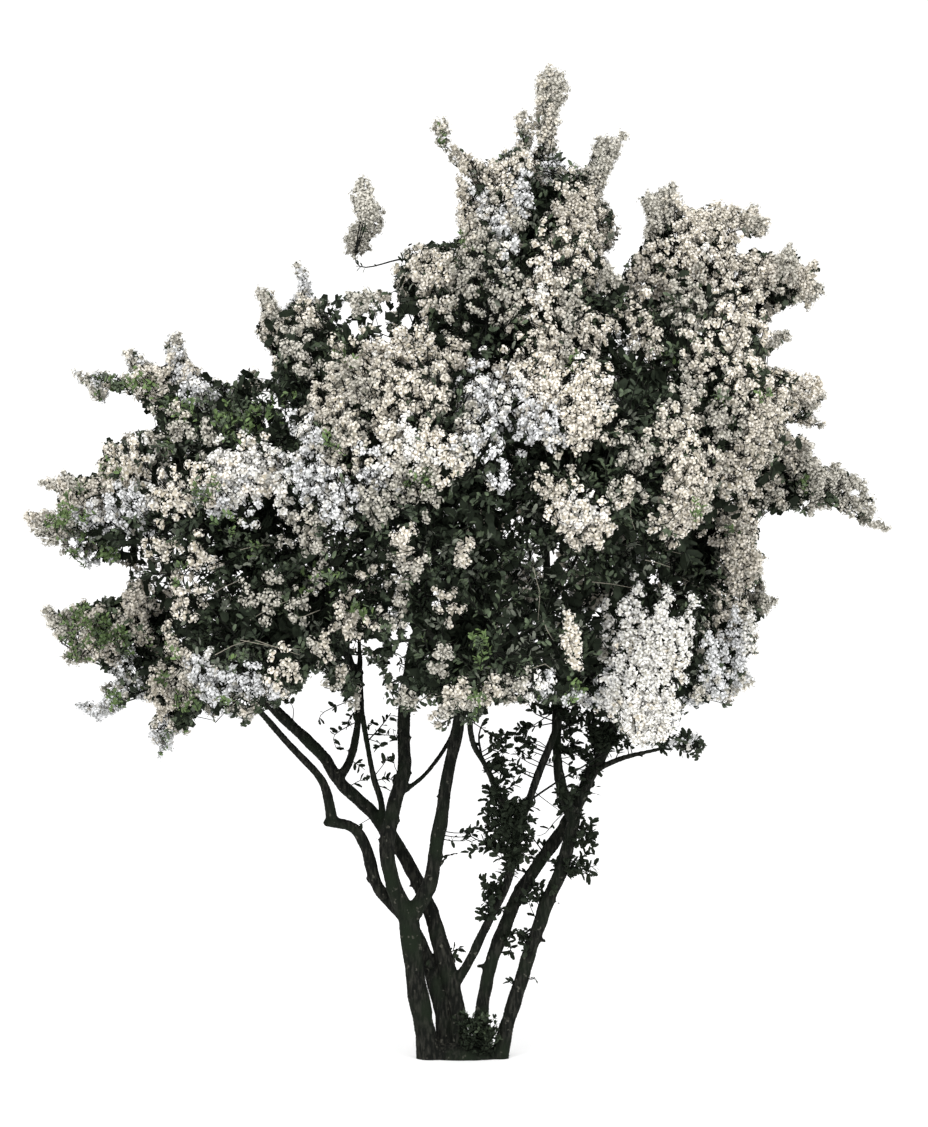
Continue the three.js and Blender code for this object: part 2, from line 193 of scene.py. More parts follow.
class Tone(Enum):
    """The tones of the blossom, by the part of the crown that it stands in."""

    WHITE = Finish("petal_white", (0.79, 0.785, 0.77), (0.69, 0.68, 0.65), 0.75)
    CREAM = Finish("petal_cream", (0.75, 0.715, 0.655), (0.62, 0.585, 0.52), 0.75)
    BEIGE = Finish("petal_beige", (0.67, 0.63, 0.56), (0.52, 0.485, 0.42), 0.78)
    COOL = Finish("petal_cool", (0.69, 0.695, 0.705), (0.56, 0.565, 0.572), 0.75)
    # grey-beige blossom darker than the rest: partly greyed, older flowers and partly painted shade of
    # shaded clusters and tips
    DUSK = Finish("petal_dusk_shade", (0.52, 0.50, 0.445), (0.37, 0.355, 0.31), 0.8)


# the knots of buds and stalks, darker than their petals: partly their own colour, partly painted shade
# in the gaps between the flowers
UMBEL_FINISH = {
    Tone.WHITE: Finish("umbel_white", (0.66, 0.65, 0.61), (0.50, 0.485, 0.43), 0.85),
    Tone.CREAM: Finish("umbel_cream", (0.56, 0.51, 0.42), (0.34, 0.305, 0.23), 0.85),
    Tone.BEIGE: Finish("umbel_beige", (0.44, 0.405, 0.335), (0.26, 0.24, 0.19), 0.85),
    Tone.COOL: Finish("umbel_cool", (0.48, 0.485, 0.48), (0.30, 0.307, 0.295), 0.85),
    Tone.DUSK: Finish("umbel_dusk_shade", (0.28, 0.265, 0.225), (0.155, 0.15, 0.12), 0.85),
}
TWIG_DARK = Finish("twig_dark", (0.012, 0.013, 0.010), (0.006, 0.007, 0.006), 0.85, 60.0, 0.06)
TWIG_PALE = Finish("twig_pale", (0.30, 0.275, 0.22), (0.15, 0.14, 0.11), 0.8, 60.0)
FLOOR = Finish("floor", (0.955, 0.955, 0.955), (0.950225, 0.950225, 0.950225), 1.0, 2.0, 0.0)


@dataclass
class FinishShop:
    """Makes the materials, and the node groups that they share.

    Its fields are the scales of the noises that the groups mix, and the range of each that shows.
    """

    broad_scale: float = 7.0
    broad_share: float = 0.55
    dapple_range: tuple[float, float] = (0.62, 0.98)
    ridge_stretch: tuple[float, float, float] = (1.0, 1.0, 0.24)
    ridge_scale: float = 150.0
    ridge_range: tuple[float, float] = (0.45, 0.68)
    crack_scale: float = 330.0
    crack_share: float = 0.5
    moss_scale: float = 11.0
    moss_range: tuple[float, float] = (0.46, 0.66)
    lichen_scale: float = 70.0
    lichen_range: tuple[float, float] = (0.66, 0.72)

    def __post_init__(self) -> None:
        """Builds the shared groups once."""
        self.dapple = self._dapple_group()
        self.weather = self._weather_group()

    @staticmethod
    def _group(name: str, inputs: dict[str, str], outputs: dict[str, str]) -> bpy.types.NodeTree:
        """An empty shader group with named sockets.

        Args:
            name: The group's name.
            inputs: Socket type of each input.
            outputs: Socket type of each output.

        Returns:
            The group.
        """
        tree = bpy.data.node_groups.new(name, "ShaderNodeTree")
        for title, kind in inputs.items():
            tree.interface.new_socket(name=title, in_out="INPUT", socket_type=kind)
        for title, kind in outputs.items():
            tree.interface.new_socket(name=title, in_out="OUTPUT", socket_type=kind)
        tree.nodes.new("NodeGroupInput").name = "in"
        tree.nodes.new("NodeGroupOutput").name = "out"
        return tree

    @staticmethod
    def _noise(tree: bpy.types.NodeTree, scale: float | bpy.types.NodeSocket, detail: float,
               place: bpy.types.NodeSocket) -> bpy.types.NodeSocket:
        """A noise read at a place.

        Args:
            tree: The tree that it goes in.
            scale: The noise's scale, or the socket that gives it.
            detail: Its detail.
            place: The socket with the coordinates.

        Returns:
            The socket with the noise's value.
        """
        node = tree.nodes.new("ShaderNodeTexNoise")
        if isinstance(scale, float):
            node.inputs["Scale"].default_value = scale
        else:
            tree.links.new(scale, node.inputs["Scale"])
        node.inputs["Detail"].default_value = detail
        tree.links.new(place, node.inputs["Vector"])
        return node.outputs["Fac"]

    @staticmethod
    def _ramp(tree: bpy.types.NodeTree, limits: tuple[float, float],
              value: bpy.types.NodeSocket) -> bpy.types.NodeSocket:
        """A value stretched so that its limits become 0 and 1.

        Args:
            tree: The tree that it goes in.
            limits: The values that become 0 and 1.
            value: The socket with the value.

        Returns:
            The socket with the stretched value.
        """
        node = tree.nodes.new("ShaderNodeMapRange")
        node.inputs["From Min"].default_value, node.inputs["From Max"].default_value = limits
        tree.links.new(value, node.inputs["Value"])
        return node.outputs["Result"]

    @staticmethod
    def _sum(tree: bpy.types.NodeTree, first: bpy.types.NodeSocket, share: float,
             second: bpy.types.NodeSocket) -> bpy.types.NodeSocket:
        """A part of one value and the whole of another, added up.

        Args:
            tree: The tree that it goes in.
            first: The socket with the value that is taken in part.
            share: Which part of it.
            second: The socket with the value that is taken whole.

        Returns:
            The socket with the sum.
        """
        node = tree.nodes.new("ShaderNodeMath")
        node.operation = "MULTIPLY_ADD"
        node.inputs[1].default_value = share
        tree.links.new(first, node.inputs[0])
        tree.links.new(second, node.inputs[2])
        return node.outputs["Value"]

    @staticmethod
    def _mix(tree: bpy.types.NodeTree, share: bpy.types.NodeSocket, first: bpy.types.NodeSocket,
             second: bpy.types.NodeSocket) -> bpy.types.NodeSocket:
        """A mix of two colours.

        Args:
            tree: The tree that it goes in.
            share: The socket with the second colour's share.
            first: The first colour's socket.
            second: The second colour's socket.

        Returns:
            The socket with the mixed colour.
        """
        node = tree.nodes.new("ShaderNodeMix")
        node.data_type = "RGBA"
        # the factor, and the pair of inputs and the output that are colours
        tree.links.new(share, node.inputs[0])
        tree.links.new(first, node.inputs[6])
        tree.links.new(second, node.inputs[7])
        return node.outputs[2]

    def _dapple_group(self) -> bpy.types.NodeTree:
        """The group that dapples a colour with its shade, broadly and finely."""
        tree = self._group(
            "dapple",
            {"Place": "NodeSocketVector", "Colour": "NodeSocketColor", "Shade": "NodeSocketColor",
             "Grain": "NodeSocketFloat"},
            {"Colour": "NodeSocketColor"},
        )
        given = tree.nodes["in"].outputs
        broad = self._noise(tree, self.broad_scale, 1.0, given["Place"])
        fine = self._noise(tree, given["Grain"], 2.0, given["Place"])
        both = self._sum(tree, broad, self.broad_share, fine)
        share = self._ramp(tree, self.dapple_range, both)
        colour = self._mix(tree, share, given["Colour"], given["Shade"])
        tree.links.new(colour, tree.nodes["out"].inputs["Colour"])
        return tree

    def _weather_group(self) -> bpy.types.NodeTree:
        """The group that weathers bark: long ridges, moss on broad patches, and lichen specks."""
        tree = self._group(
            "weather",
            {"Place": "NodeSocketVector", "Bark": "NodeSocketColor", "Ridge": "NodeSocketColor",
             "Moss": "NodeSocketColor", "Lichen": "NodeSocketColor"},
            {"Colour": "NodeSocketColor", "Height": "NodeSocketFloat"},
        )
        given = tree.nodes["in"].outputs
        long_way = tree.nodes.new("ShaderNodeMapping")
        long_way.inputs["Scale"].default_value = self.ridge_stretch
        tree.links.new(given["Place"], long_way.inputs["Vector"])
        ridges = self._noise(tree, self.ridge_scale, 4.0, long_way.outputs["Vector"])
        cracks = self._noise(tree, self.crack_scale, 3.0, long_way.outputs["Vector"])
        moss = self._noise(tree, self.moss_scale, 4.0, given["Place"])
        specks = self._noise(tree, self.lichen_scale, 2.0, given["Place"])
        colour = given["Bark"]
        for cover, limits, value in (
            ("Ridge", self.ridge_range, ridges),
            ("Moss", self.moss_range, moss),
            ("Lichen", self.lichen_range, specks),
        ):
            colour = self._mix(tree, self._ramp(tree, limits, value), colour, given[cover])
        height = self._sum(tree, cracks, self.crack_share, ridges)
        tree.links.new(colour, tree.nodes["out"].inputs["Colour"])
        tree.links.new(height, tree.nodes["out"].inputs["Height"])
        return tree

    @staticmethod
    def _material(finish: Finish | BarkFinish, shared: bpy.types.NodeTree,
                  **values: tuple | float) -> tuple[bpy.types.Material, bpy.types.Node]:
        """A material whose colour a shared group gives, read at the object's own coordinates.

        Args:
            finish: Its name, roughness and reflection.
            shared: The group.
            **values: What goes into the group's other inputs.

        Returns:
            The material and its group node.
        """
        material = bpy.data.materials.new(finish.name)
        material.use_nodes = True
        tree = material.node_tree
        shader = tree.nodes["Principled BSDF"]
        shader.inputs["Roughness"].default_value = finish.roughness
        shader.inputs["Specular IOR Level"].default_value = finish.specular
        place = tree.nodes.new("ShaderNodeTexCoord").outputs["Object"]
        group = tree.nodes.new("ShaderNodeGroup")
        group.node_tree = shared
        for name, value in values.items():
            group.inputs[name].default_value = (*value, 1) if isinstance(value, tuple) else value
        tree.links.new(place, group.inputs["Place"])
        tree.links.new(group.outputs["Colour"], shader.inputs["Base Color"])
        return material, group

    def dappled(self, finish: Finish) -> bpy.types.Material:
        """The material of a leaf, a petal, a twig or the floor.

        Args:
            finish: Its colours and roughness.

        Returns:
            The material.
        """
        return self._material(finish, self.dapple, Colour=finish.colour, Shade=finish.shade,
                              Grain=finish.grain)[0]

    def bark(self) -> bpy.types.Material:
        """The material of the stems and boughs: dark, ridged, mossy and specked with lichen."""
        look = BarkFinish()
        material, group = self._material(look, self.weather, Bark=look.furrow, Ridge=look.ridge,
                                         Moss=look.moss, Lichen=look.lichen)
        tree = material.node_tree
        bump = tree.nodes.new("ShaderNodeBump")
        bump.inputs["Strength"].default_value = look.relief
        bump.inputs["Distance"].default_value = look.relief_height
        tree.links.new(group.outputs["Height"], bump.inputs["Height"])
        tree.links.new(bump.outputs["Normal"], tree.nodes["Principled BSDF"].inputs["Normal"])
        return material


# ---------------------------------------------------------------------------------------------
# The plant's frame: limbs and masses, as in the solids' source


CURVE_STEPS = 40  # from each point of a limb to the next, before it is spaced evenly


@dataclass(frozen=True)
class Limb:
    """A stem or bough: its radius at each end, and the points that it runs through, in mm."""

    name: str
    radius: float
    tip_radius: float
    points: tuple[tuple[float, float, float], ...]

    @lru_cache(maxsize=None)
    def line(self, spacing: float) -> tuple[np.ndarray, np.ndarray]:
        """The limb's middle line, a smooth curve through its points.

        Args:
            spacing: The distance between the line's points, in metres.

        Returns:
            The line's points and the limb's radius at each.
        """
        given = np.array(self.points, float) * MILLIMETRE
        ends = np.vstack([2 * given[0] - given[1], given, 2 * given[-1] - given[-2]])
        dense = [given[:1]]
        for a, b, c, d in zip(ends, ends[1:], ends[2:], ends[3:]):
            first, middle, last = ((((q - p) ** 2).sum() * SQUARE_MILLIMETRES) ** 0.25
                                   for p, q in ((a, b), (b, c), (c, d)))
            leave = ((b - a) / first - (c - a) / (first + middle) + (c - b) / middle) * middle
            arrive = ((c - b) / middle - (d - b) / (middle + last) + (d - c) / last) * middle
            t = np.linspace(0, 1, CURVE_STEPS + 1)[1:, None]
            dense.append(
                b + leave * t + (3 * (c - b) - 2 * leave - arrive) * t**2
                + (2 * (b - c) + leave + arrive) * t**3
            )
        dense = np.vstack(dense)
        run = np.concatenate([[0], np.linalg.norm(np.diff(dense, axis=0), axis=1).cumsum()])
        steps = max(3, round(run[-1] / spacing) + 1)
        at = np.linspace(0, run[-1], steps)
        points = np.stack([np.interp(at, run, dense[:, axis]) for axis in range(3)], 1)
        radii = (self.radius + (self.tip_radius - self.radius) * at / run[-1]) * MILLIMETRE
        return points, radii


def limb(name: str, radius: float, tip_radius: float, *points: tuple[float, float, float]) -> Limb:
    """A limb from its radii and points, in millimetres."""
    return Limb(name, radius, tip_radius, points)


LIMBS = (
    limb("stem_left", 27, 24, (-75, -5, 0), (-105, -8, 125), (-124, -8, 245), (-134, -8, 358)),
    limb("stem_left_back", 20, 13, (-36, 22, 0), (-60, 34, 150), (-125, 46, 320), (-210, 22, 425),
         (-242, 5, 528), (-272, -5, 576), (-338, -15, 592)),
    limb("stem_middle", 21, 18, (-2, 8, 0), (-12, 14, 125), (-50, 32, 270), (-77, 48, 350),
         (-122, 62, 455), (-182, 66, 554)),
    limb("stem_right_inner", 17, 16, (42, 18, 0), (50, 21, 108), (74, 24, 238), (107, 28, 325),
         (134, 31, 395), (186, 38, 472), (262, 47, 576)),
    limb("stem_right", 18, 16, (90, -2, 0), (126, -5, 125), (168, -6, 260), (211, -6, 388),
         (248, -6, 475), (281, -6, 598)),
    limb("bough_elbow", 12, 7, (-323, -15, 587), (-328, -20, 625), (-345, -35, 690),
         (-428, -95, 790), (-528, -200, 915)),
    limb("bough_left", 17, 7, (-182, 66, 554), (-225, 62, 607), (-312, 48, 692), (-348, 40, 750),
         (-485, 20, 885), (-640, 0, 1050), (-760, -10, 1290), (-735, 0, 1580)),
    limb("bough_left_rise", 10, 6, (-312, 48, 692), (-285, 62, 735), (-268, 76, 800),
         (-264, 92, 895), (-330, 160, 1150), (-410, 190, 1450), (-410, 40, 1740)),
    limb("bough_centre", 20, 8, (-134, -8, 350), (-165, -13, 410), (-188, -18, 520),
         (-170, -12, 622), (-146, 2, 720), (-147, 20, 830), (-128, 48, 1000), (-95, 62, 1125),
         (-110, 60, 1400), (-140, 20, 1650), (-120, 0, 1830)),
    limb("bough_thin_left", 8.5, 6, (-200, 64, 580), (-204, 34, 640), (-222, 30, 700),
         (-240, 48, 788), (-252, 58, 865), (-270, 200, 1100), (-330, 330, 1300)),
    limb("bough_front", 19, 8, (-131, -10, 348), (-102, -16, 395), (-80, -22, 445),
         (-61, -30, 545), (-32, -46, 732), (-4, -68, 875), (-5, -130, 1050), (-40, -250, 1250),
         (-80, -380, 1400)),
    limb("bough_front_right", 8, 6, (-8, -65, 850), (60, -130, 930), (180, -260, 1080),
         (300, -380, 1300)),
    limb("stem_slender", 12, 7, (-20, 18, 180), (16, 5, 238), (75, -22, 362), (113, -38, 442),
         (140, -50, 570), (183, -50, 695), (236, -30, 832), (270, 60, 1000), (370, 330, 1400)),
    limb("bough_forward", 9, 6, (138, -49, 550), (112, -62, 615), (60, -88, 732), (28, -105, 792),
         (20, -300, 990)),
    limb("bough_right", 15, 8, (262, 47, 576), (286, 48, 620), (315, 42, 692), (358, 32, 770),
         (382, 24, 835), (420, 20, 1050), (425, 0, 1400), (440, -10, 1700), (480, 0, 1900)),
    limb("bough_leader", 14, 6, (281, -6, 598), (266, -2, 625), (242, 10, 712), (238, 35, 858),
         (220, 60, 1145), (195, 60, 1520), (190, 30, 1895), (185, 0, 2040)),
    limb("bough_low_right", 8, 5, (320, 40, 702), (345, 28, 722), (398, 5, 748), (475, -30, 770),
         (530, -60, 785)),
    limb("bough_crossing", 6, 5, (-142, 0, 668), (-92, 20, 708), (-30, 60, 795), (40, 330, 1050)),
    limb("bough_right_far", 9, 6, (405, 22, 960), (470, 10, 1080), (620, -5, 1230),
         (750, 0, 1420), (755, 0, 1640), (755, 0, 1850)),
    limb("bough_back", 8, 6, (225, 54, 1080), (170, 180, 1200), (0, 450, 1430)),
    limb("bough_top_front", 7, 5, (195, 60, 1500), (160, -60, 1620), (130, -220, 1740)),
    limb("bough_top_back", 7, 5, (193, 50, 1620), (170, 150, 1720), (150, 280, 1800)),
    limb("bough_front_upper", 7, 5, (-102, 60, 1250), (-140, -80, 1430), (-200, -250, 1590)),
    limb("bough_front_left", 7, 5, (-266, 94, 905), (-320, -40, 1080), (-460, -220, 1280)),
    limb("bough_front_skirt", 6, 5, (386, 24, 850), (430, -100, 900), (460, -220, 960)),
    limb("bough_front_far", 7, 5, (424, 2, 1380), (470, -100, 1460), (520, -220, 1550)),
)


@dataclass(frozen=True)
class Spur:
    """A long spray that reaches out of a mass: its tip, length and girth, and what it bends round.

    All are in millimetres.
    """

    tip: tuple[float, float, float]
    length: float
    girth: float
    bend: tuple[float, float, float] | None = None


@dataclass(frozen=True)
class Mass:
    """A mass of leaves and blossom: its heart, half sizes, share of blossom, arms and spurs."""

    name: str
    heart: np.ndarray
    half: np.ndarray
    blossom: float
    arms: int
    spurs: tuple[Spur, ...] = ()

    @property
    def mean_size(self) -> float:
        """The radius of a round mass of about the same size."""
        return 0.85 * float(self.half.sum()) / 3

    @property
    def on_stems(self) -> bool:
        """Whether it is one of the two masses of short shoots on the stems."""
        return self.name.endswith("_shoots")

    def reach(self, directions: np.ndarray) -> np.ndarray:
        """How far the mass reaches from its heart along each direction."""
        return 1 / np.linalg.norm(directions / self.half, axis=-1)

    def far_out(self, point: np.ndarray) -> float:
        """How far out a point is: 0 at the heart, 1 on the surface."""
        return np.linalg.norm((point - self.heart) / self.half)


def mass(name: str, heart: tuple, half: tuple, blossom: float, arms: int, *spurs: Spur) -> Mass:
    """A mass from its heart and half sizes, in millimetres."""
    return Mass(name, metres(*heart), metres(*half), blossom, arms, spurs)


# the share of a mass's shoots that blossom: on the open crown, and where it is mostly leaves
FULL = 0.62
LEAFY = 0.3
MASSES = (
    mass("crown_top", (185, 0, 2085), (235, 240, 200), FULL, 14,
         Spur((220, 0, 2490), 240, 44), Spur((-62, -20, 2352), 120, 24),
         Spur((400, 10, 2315), 150, 40), Spur((145, 0, 2370), 120, 28),
         Spur((-8, -10, 2285), 90, 34), Spur((398, 0, 2190), 100, 36)),
    mass("crown_upper_left", (-85, -20, 1930), (145, 245, 155), FULL, 10,
         Spur((-235, 0, 2195), 130, 44, (-310, 0, 1975))),
    mass("left_upper", (-430, 0, 1800), (130, 220, 160), LEAFY, 11,
         Spur((-410, 0, 1990), 110, 30), Spur((-500, -20, 1920), 60, 24)),
    mass("left_shoulder", (-705, 0, 1665), (220, 215, 140), LEAFY, 11,
         Spur((-972, -10, 1720), 100, 28), Spur((-848, 0, 1778), 90, 28),
         Spur((-712, -10, 1815), 110, 34)),
    mass("left_far", (-865, 0, 1415), (195, 235, 185), FULL, 12,
         Spur((-1092, 0, 1358), 110, 40), Spur((-1062, 20, 1445), 60, 22),
         Spur((-992, -10, 1258), 80, 34)),
    mass("left_low", (-835, 0, 1080), (205, 215, 135), LEAFY, 10,
         Spur((-1047, 0, 1120), 80, 34), Spur((-997, -20, 1008), 80, 30),
         Spur((-980, -40, 875), 130, 26)),
    mass("left_skirt", (-670, -60, 930), (220, 200, 130), FULL, 10, Spur((-755, -80, 758), 110, 30)),
    mass("right_top", (550, 0, 1965), (190, 230, 200), FULL, 11,
         Spur((500, 0, 2195), 80, 40), Spur((385, -40, 1840), 80, 44)),
    mass("right_upper_far", (765, 0, 1950), (150, 190, 150), FULL, 10,
         Spur((765, 0, 2108), 70, 28), Spur((895, -10, 1980), 70, 28), Spur((895, -20, 1885), 60, 30)),
    mass("right_middle", (725, 0, 1680), (180, 215, 170), FULL, 10,
         Spur((908, 0, 1695), 90, 36), Spur((915, 0, 1590), 60, 22), Spur((800, -10, 1825), 60, 36)),
    mass("right_shoot", (820, 0, 1445), (140, 150, 110), FULL, 8,
         Spur((1065, 0, 1328), 150, 30), Spur((995, 0, 1445), 90, 36)),
    mass("right_low", (630, 0, 1295), (190, 225, 190), FULL, 10, Spur((812, 0, 1150), 80, 36)),
    mass("right_skirt", (645, -40, 1030), (135, 170, 165), FULL, 9),
    mass("right_front_skirt", (465, -330, 985), (150, 160, 230), 0.85, 10),
    mass("right_inner_skirt", (310, -40, 960), (120, 140, 130), LEAFY, 8),
    mass("right_low_tip", (585, -70, 788), (70, 60, 45), 0.2, 8),
    mass("front_top", (120, -330, 1775), (300, 260, 280), FULL, 11),
    mass("front_upper_left", (-230, -360, 1670), (275, 260, 220), FULL, 11),
    mass("front_left", (-530, -340, 1395), (320, 275, 290), FULL, 12),
    mass("front_middle", (-105, -560, 1420), (335, 275, 290), FULL, 12),
    mass("front_middle_right", (295, -520, 1455), (305, 275, 280), FULL, 12),
    mass("front_right", (545, -330, 1620), (250, 260, 280), FULL, 11),
    mass("front_low_left", (-405, -380, 1070), (315, 275, 250), FULL, 11,
         Spur((-205, -330, 1190), 60, 44)),
    mass("front_low", (20, -470, 1040), (310, 265, 230), LEAFY, 11),
    mass("back_top", (150, 380, 1850), (320, 265, 250), FULL, 10),
    mass("back_left", (-480, 380, 1560), (320, 295, 280), FULL, 10),
    mass("back_middle", (-40, 620, 1450), (345, 290, 265), FULL, 10),
    mass("back_right", (480, 420, 1600), (305, 280, 280), FULL, 10),
    mass("back_low_left", (-420, 400, 1080), (310, 280, 210), LEAFY, 10),
    mass("back_low", (30, 520, 1060), (310, 265, 210), LEAFY, 10),
    mass("back_low_right", (430, 380, 1120), (290, 265, 225), FULL, 10),
    mass("inner_shoots", (125, -60, 605), (75, 70, 105), 0, 8),
    mass("outer_shoots", (308, -10, 560), (32, 45, 105), 0, 6),
)
CROWN_MASSES = tuple(own for own in MASSES if not own.on_stems)
CELL_MARGIN = 0.003  # what each mass keeps from the border of its own space


class Seeded:
    """Even numbers from 0 to 1, the same on every run for the same text, and as in the source."""

    def __init__(self, text: str) -> None:
        """Starts from the text's letters."""
        self.state = 7
        for letter in text:
            self.state = (self.state * 31 + ord(letter)) & WORD

    def __call__(self) -> float:
        """The next number."""
        self.state = (self.state + 0x6D2B79F5) & WORD
        t = ((self.state ^ (self.state >> 15)) * (1 | self.state)) & WORD
        t = ((t + (((t ^ (t >> 7)) * (61 | t)) & WORD)) & WORD) ^ t
        return (t ^ (t >> 14)) / (WORD + 1)


def even_directions(count: int, random: Seeded) -> np.ndarray:
    """Even directions over a sphere, each turned a little by chance.

    Args:
        count: How many.
        random: The source of chance.

    Returns:
        The directions, one a row.
    """
    turn = random() * 2 * math.pi
    made = []
    for i in range(count):
        z = 1 - (2 * i + 1) / count
        flat = math.sqrt(1 - z * z)
        angle = turn + GOLDEN_TURN * i
        nudge = np.array([random() - 0.5, random() - 0.5, random() - 0.5]) * 0.3
        made.append(np.array([flat * math.cos(angle), flat * math.sin(angle), z]) + nudge)
    return unit(np.array(made))


def room_along(own: Mass, directions: np.ndarray) -> np.ndarray:
    """How far each ray from a mass's heart runs before it leaves the mass's own space.

    Args:
        own: The mass.
        directions: Unit vectors, one a row.

    Returns:
        The distances, never more than the mass reaches.
    """
    limit = own.reach(directions)
    for other in MASSES:
        if other is own:
            continue
        away = own.heart - other.heart
        distance = np.linalg.norm(away)
        slope = 2 * directions @ away
        start = distance**2 - other.mean_size**2 + own.mean_size**2 - 2 * distance * CELL_MARGIN
        closing = slope < -1e-9
        crossing = np.where(closing, start / np.where(closing, -slope, 1.0), np.inf)
        limit = np.minimum(limit, crossing)
    return np.maximum(limit, 0.0)


# ---------------------------------------------------------------------------------------------
# Many small shapes, joined


def shape_of(bm: bmesh.types.BMesh) -> tuple[np.ndarray, np.ndarray]:
    """The corners and triangles of a small shape, which is freed.

    Args:
        bm: The shape.

    Returns:
        Its points and its triangles.
    """
    bmesh.ops.triangulate(bm, faces=bm.faces[:])
    bm.verts.index_update()
    points = np.array([v.co[:] for v in bm.verts])
    triangles = np.array([[v.index for v in f.verts] for f in bm.faces])
    bm.free()
    return points, triangles


@dataclass(frozen=True)
class LeafShape:
    """One leaf: an oval of four faces, folded along its rib, its tip bent down."""

    width: float = 0.47
    fold: float = 0.09
    droop: float = 0.10
    belly: float = 0.05
    taper: float = 0.86

    def build(self) -> tuple[np.ndarray, np.ndarray]:
        """The leaf, one long from its stalk at the origin along +X."""
        bm = bmesh.new()
        bmesh.ops.create_circle(bm, cap_ends=True, segments=6, radius=0.5)
        half_width = 0.433  # of the circle of six corners
        for v in bm.verts:
            along = v.co.x + 0.5
            v.co.x = along + (self.belly if 0.1 < along < 0.9 else 0.0)
            v.co.y *= self.width / (2 * half_width) * (1.0 if along < 0.5 else self.taper)
            v.co.z = self.fold * abs(v.co.y) / (self.width / 2) - self.droop * along**2
        return shape_of(bm)


@dataclass(frozen=True)
class FlowerShape:
    """One flower: five petals, each a face that widens from the middle of a shallow cup."""

    cup: float = 0.22
    petals: int = 5
    widening: float = 0.17
    turn: float = 0.2

    def build(self) -> tuple[np.ndarray, np.ndarray]:
        """The flower, one across, open towards +Z."""
        bm = bmesh.new()
        bmesh.ops.create_circle(bm, cap_ends=True, cap_tris=True, segments=2 * self.petals, radius=0.5)
        bmesh.ops.rotate(bm, matrix=Matrix.Rotation(self.turn, 3, "Z"), verts=bm.verts[:])
        rim = [v for v in bm.verts if v.co.length > 0.1]
        rim.sort(key=lambda v: math.atan2(v.co.y, v.co.x))
        middles = {f: f.calc_center_median() for f in bm.faces}
        faces = sorted(bm.faces, key=lambda f: math.atan2(middles[f].y, middles[f].x))
        first = {rim[0], rim[1]} <= set(faces[0].verts)
        bmesh.ops.rotate(bm, matrix=Matrix.Rotation(-self.widening, 3, "Z"), verts=rim[::2])
        bmesh.ops.rotate(bm, matrix=Matrix.Rotation(self.widening, 3, "Z"), verts=rim[1::2])
        for v in rim:
            v.co.z = self.cup * 0.5
        bmesh.ops.delete(bm, geom=faces[1::2] if first else faces[::2], context="FACES")
        return shape_of(bm)


@dataclass(frozen=True)
class UmbelShape:
    """The knot of stalks and buds at the heart of one umbel, four faces."""

    girth: float = 1.12
    height: float = 1.1
    rise: float = 0.25

    def build(self) -> tuple[np.ndarray, np.ndarray]:
        """The knot, of radius one, its flat side behind."""
        bm = bmesh.new()
        bmesh.ops.create_cone(bm, cap_ends=True, segments=3, radius1=self.girth, radius2=0.0,
                              depth=self.height)
        bmesh.ops.translate(bm, vec=(0, 0, self.rise), verts=bm.verts[:])
        return shape_of(bm)


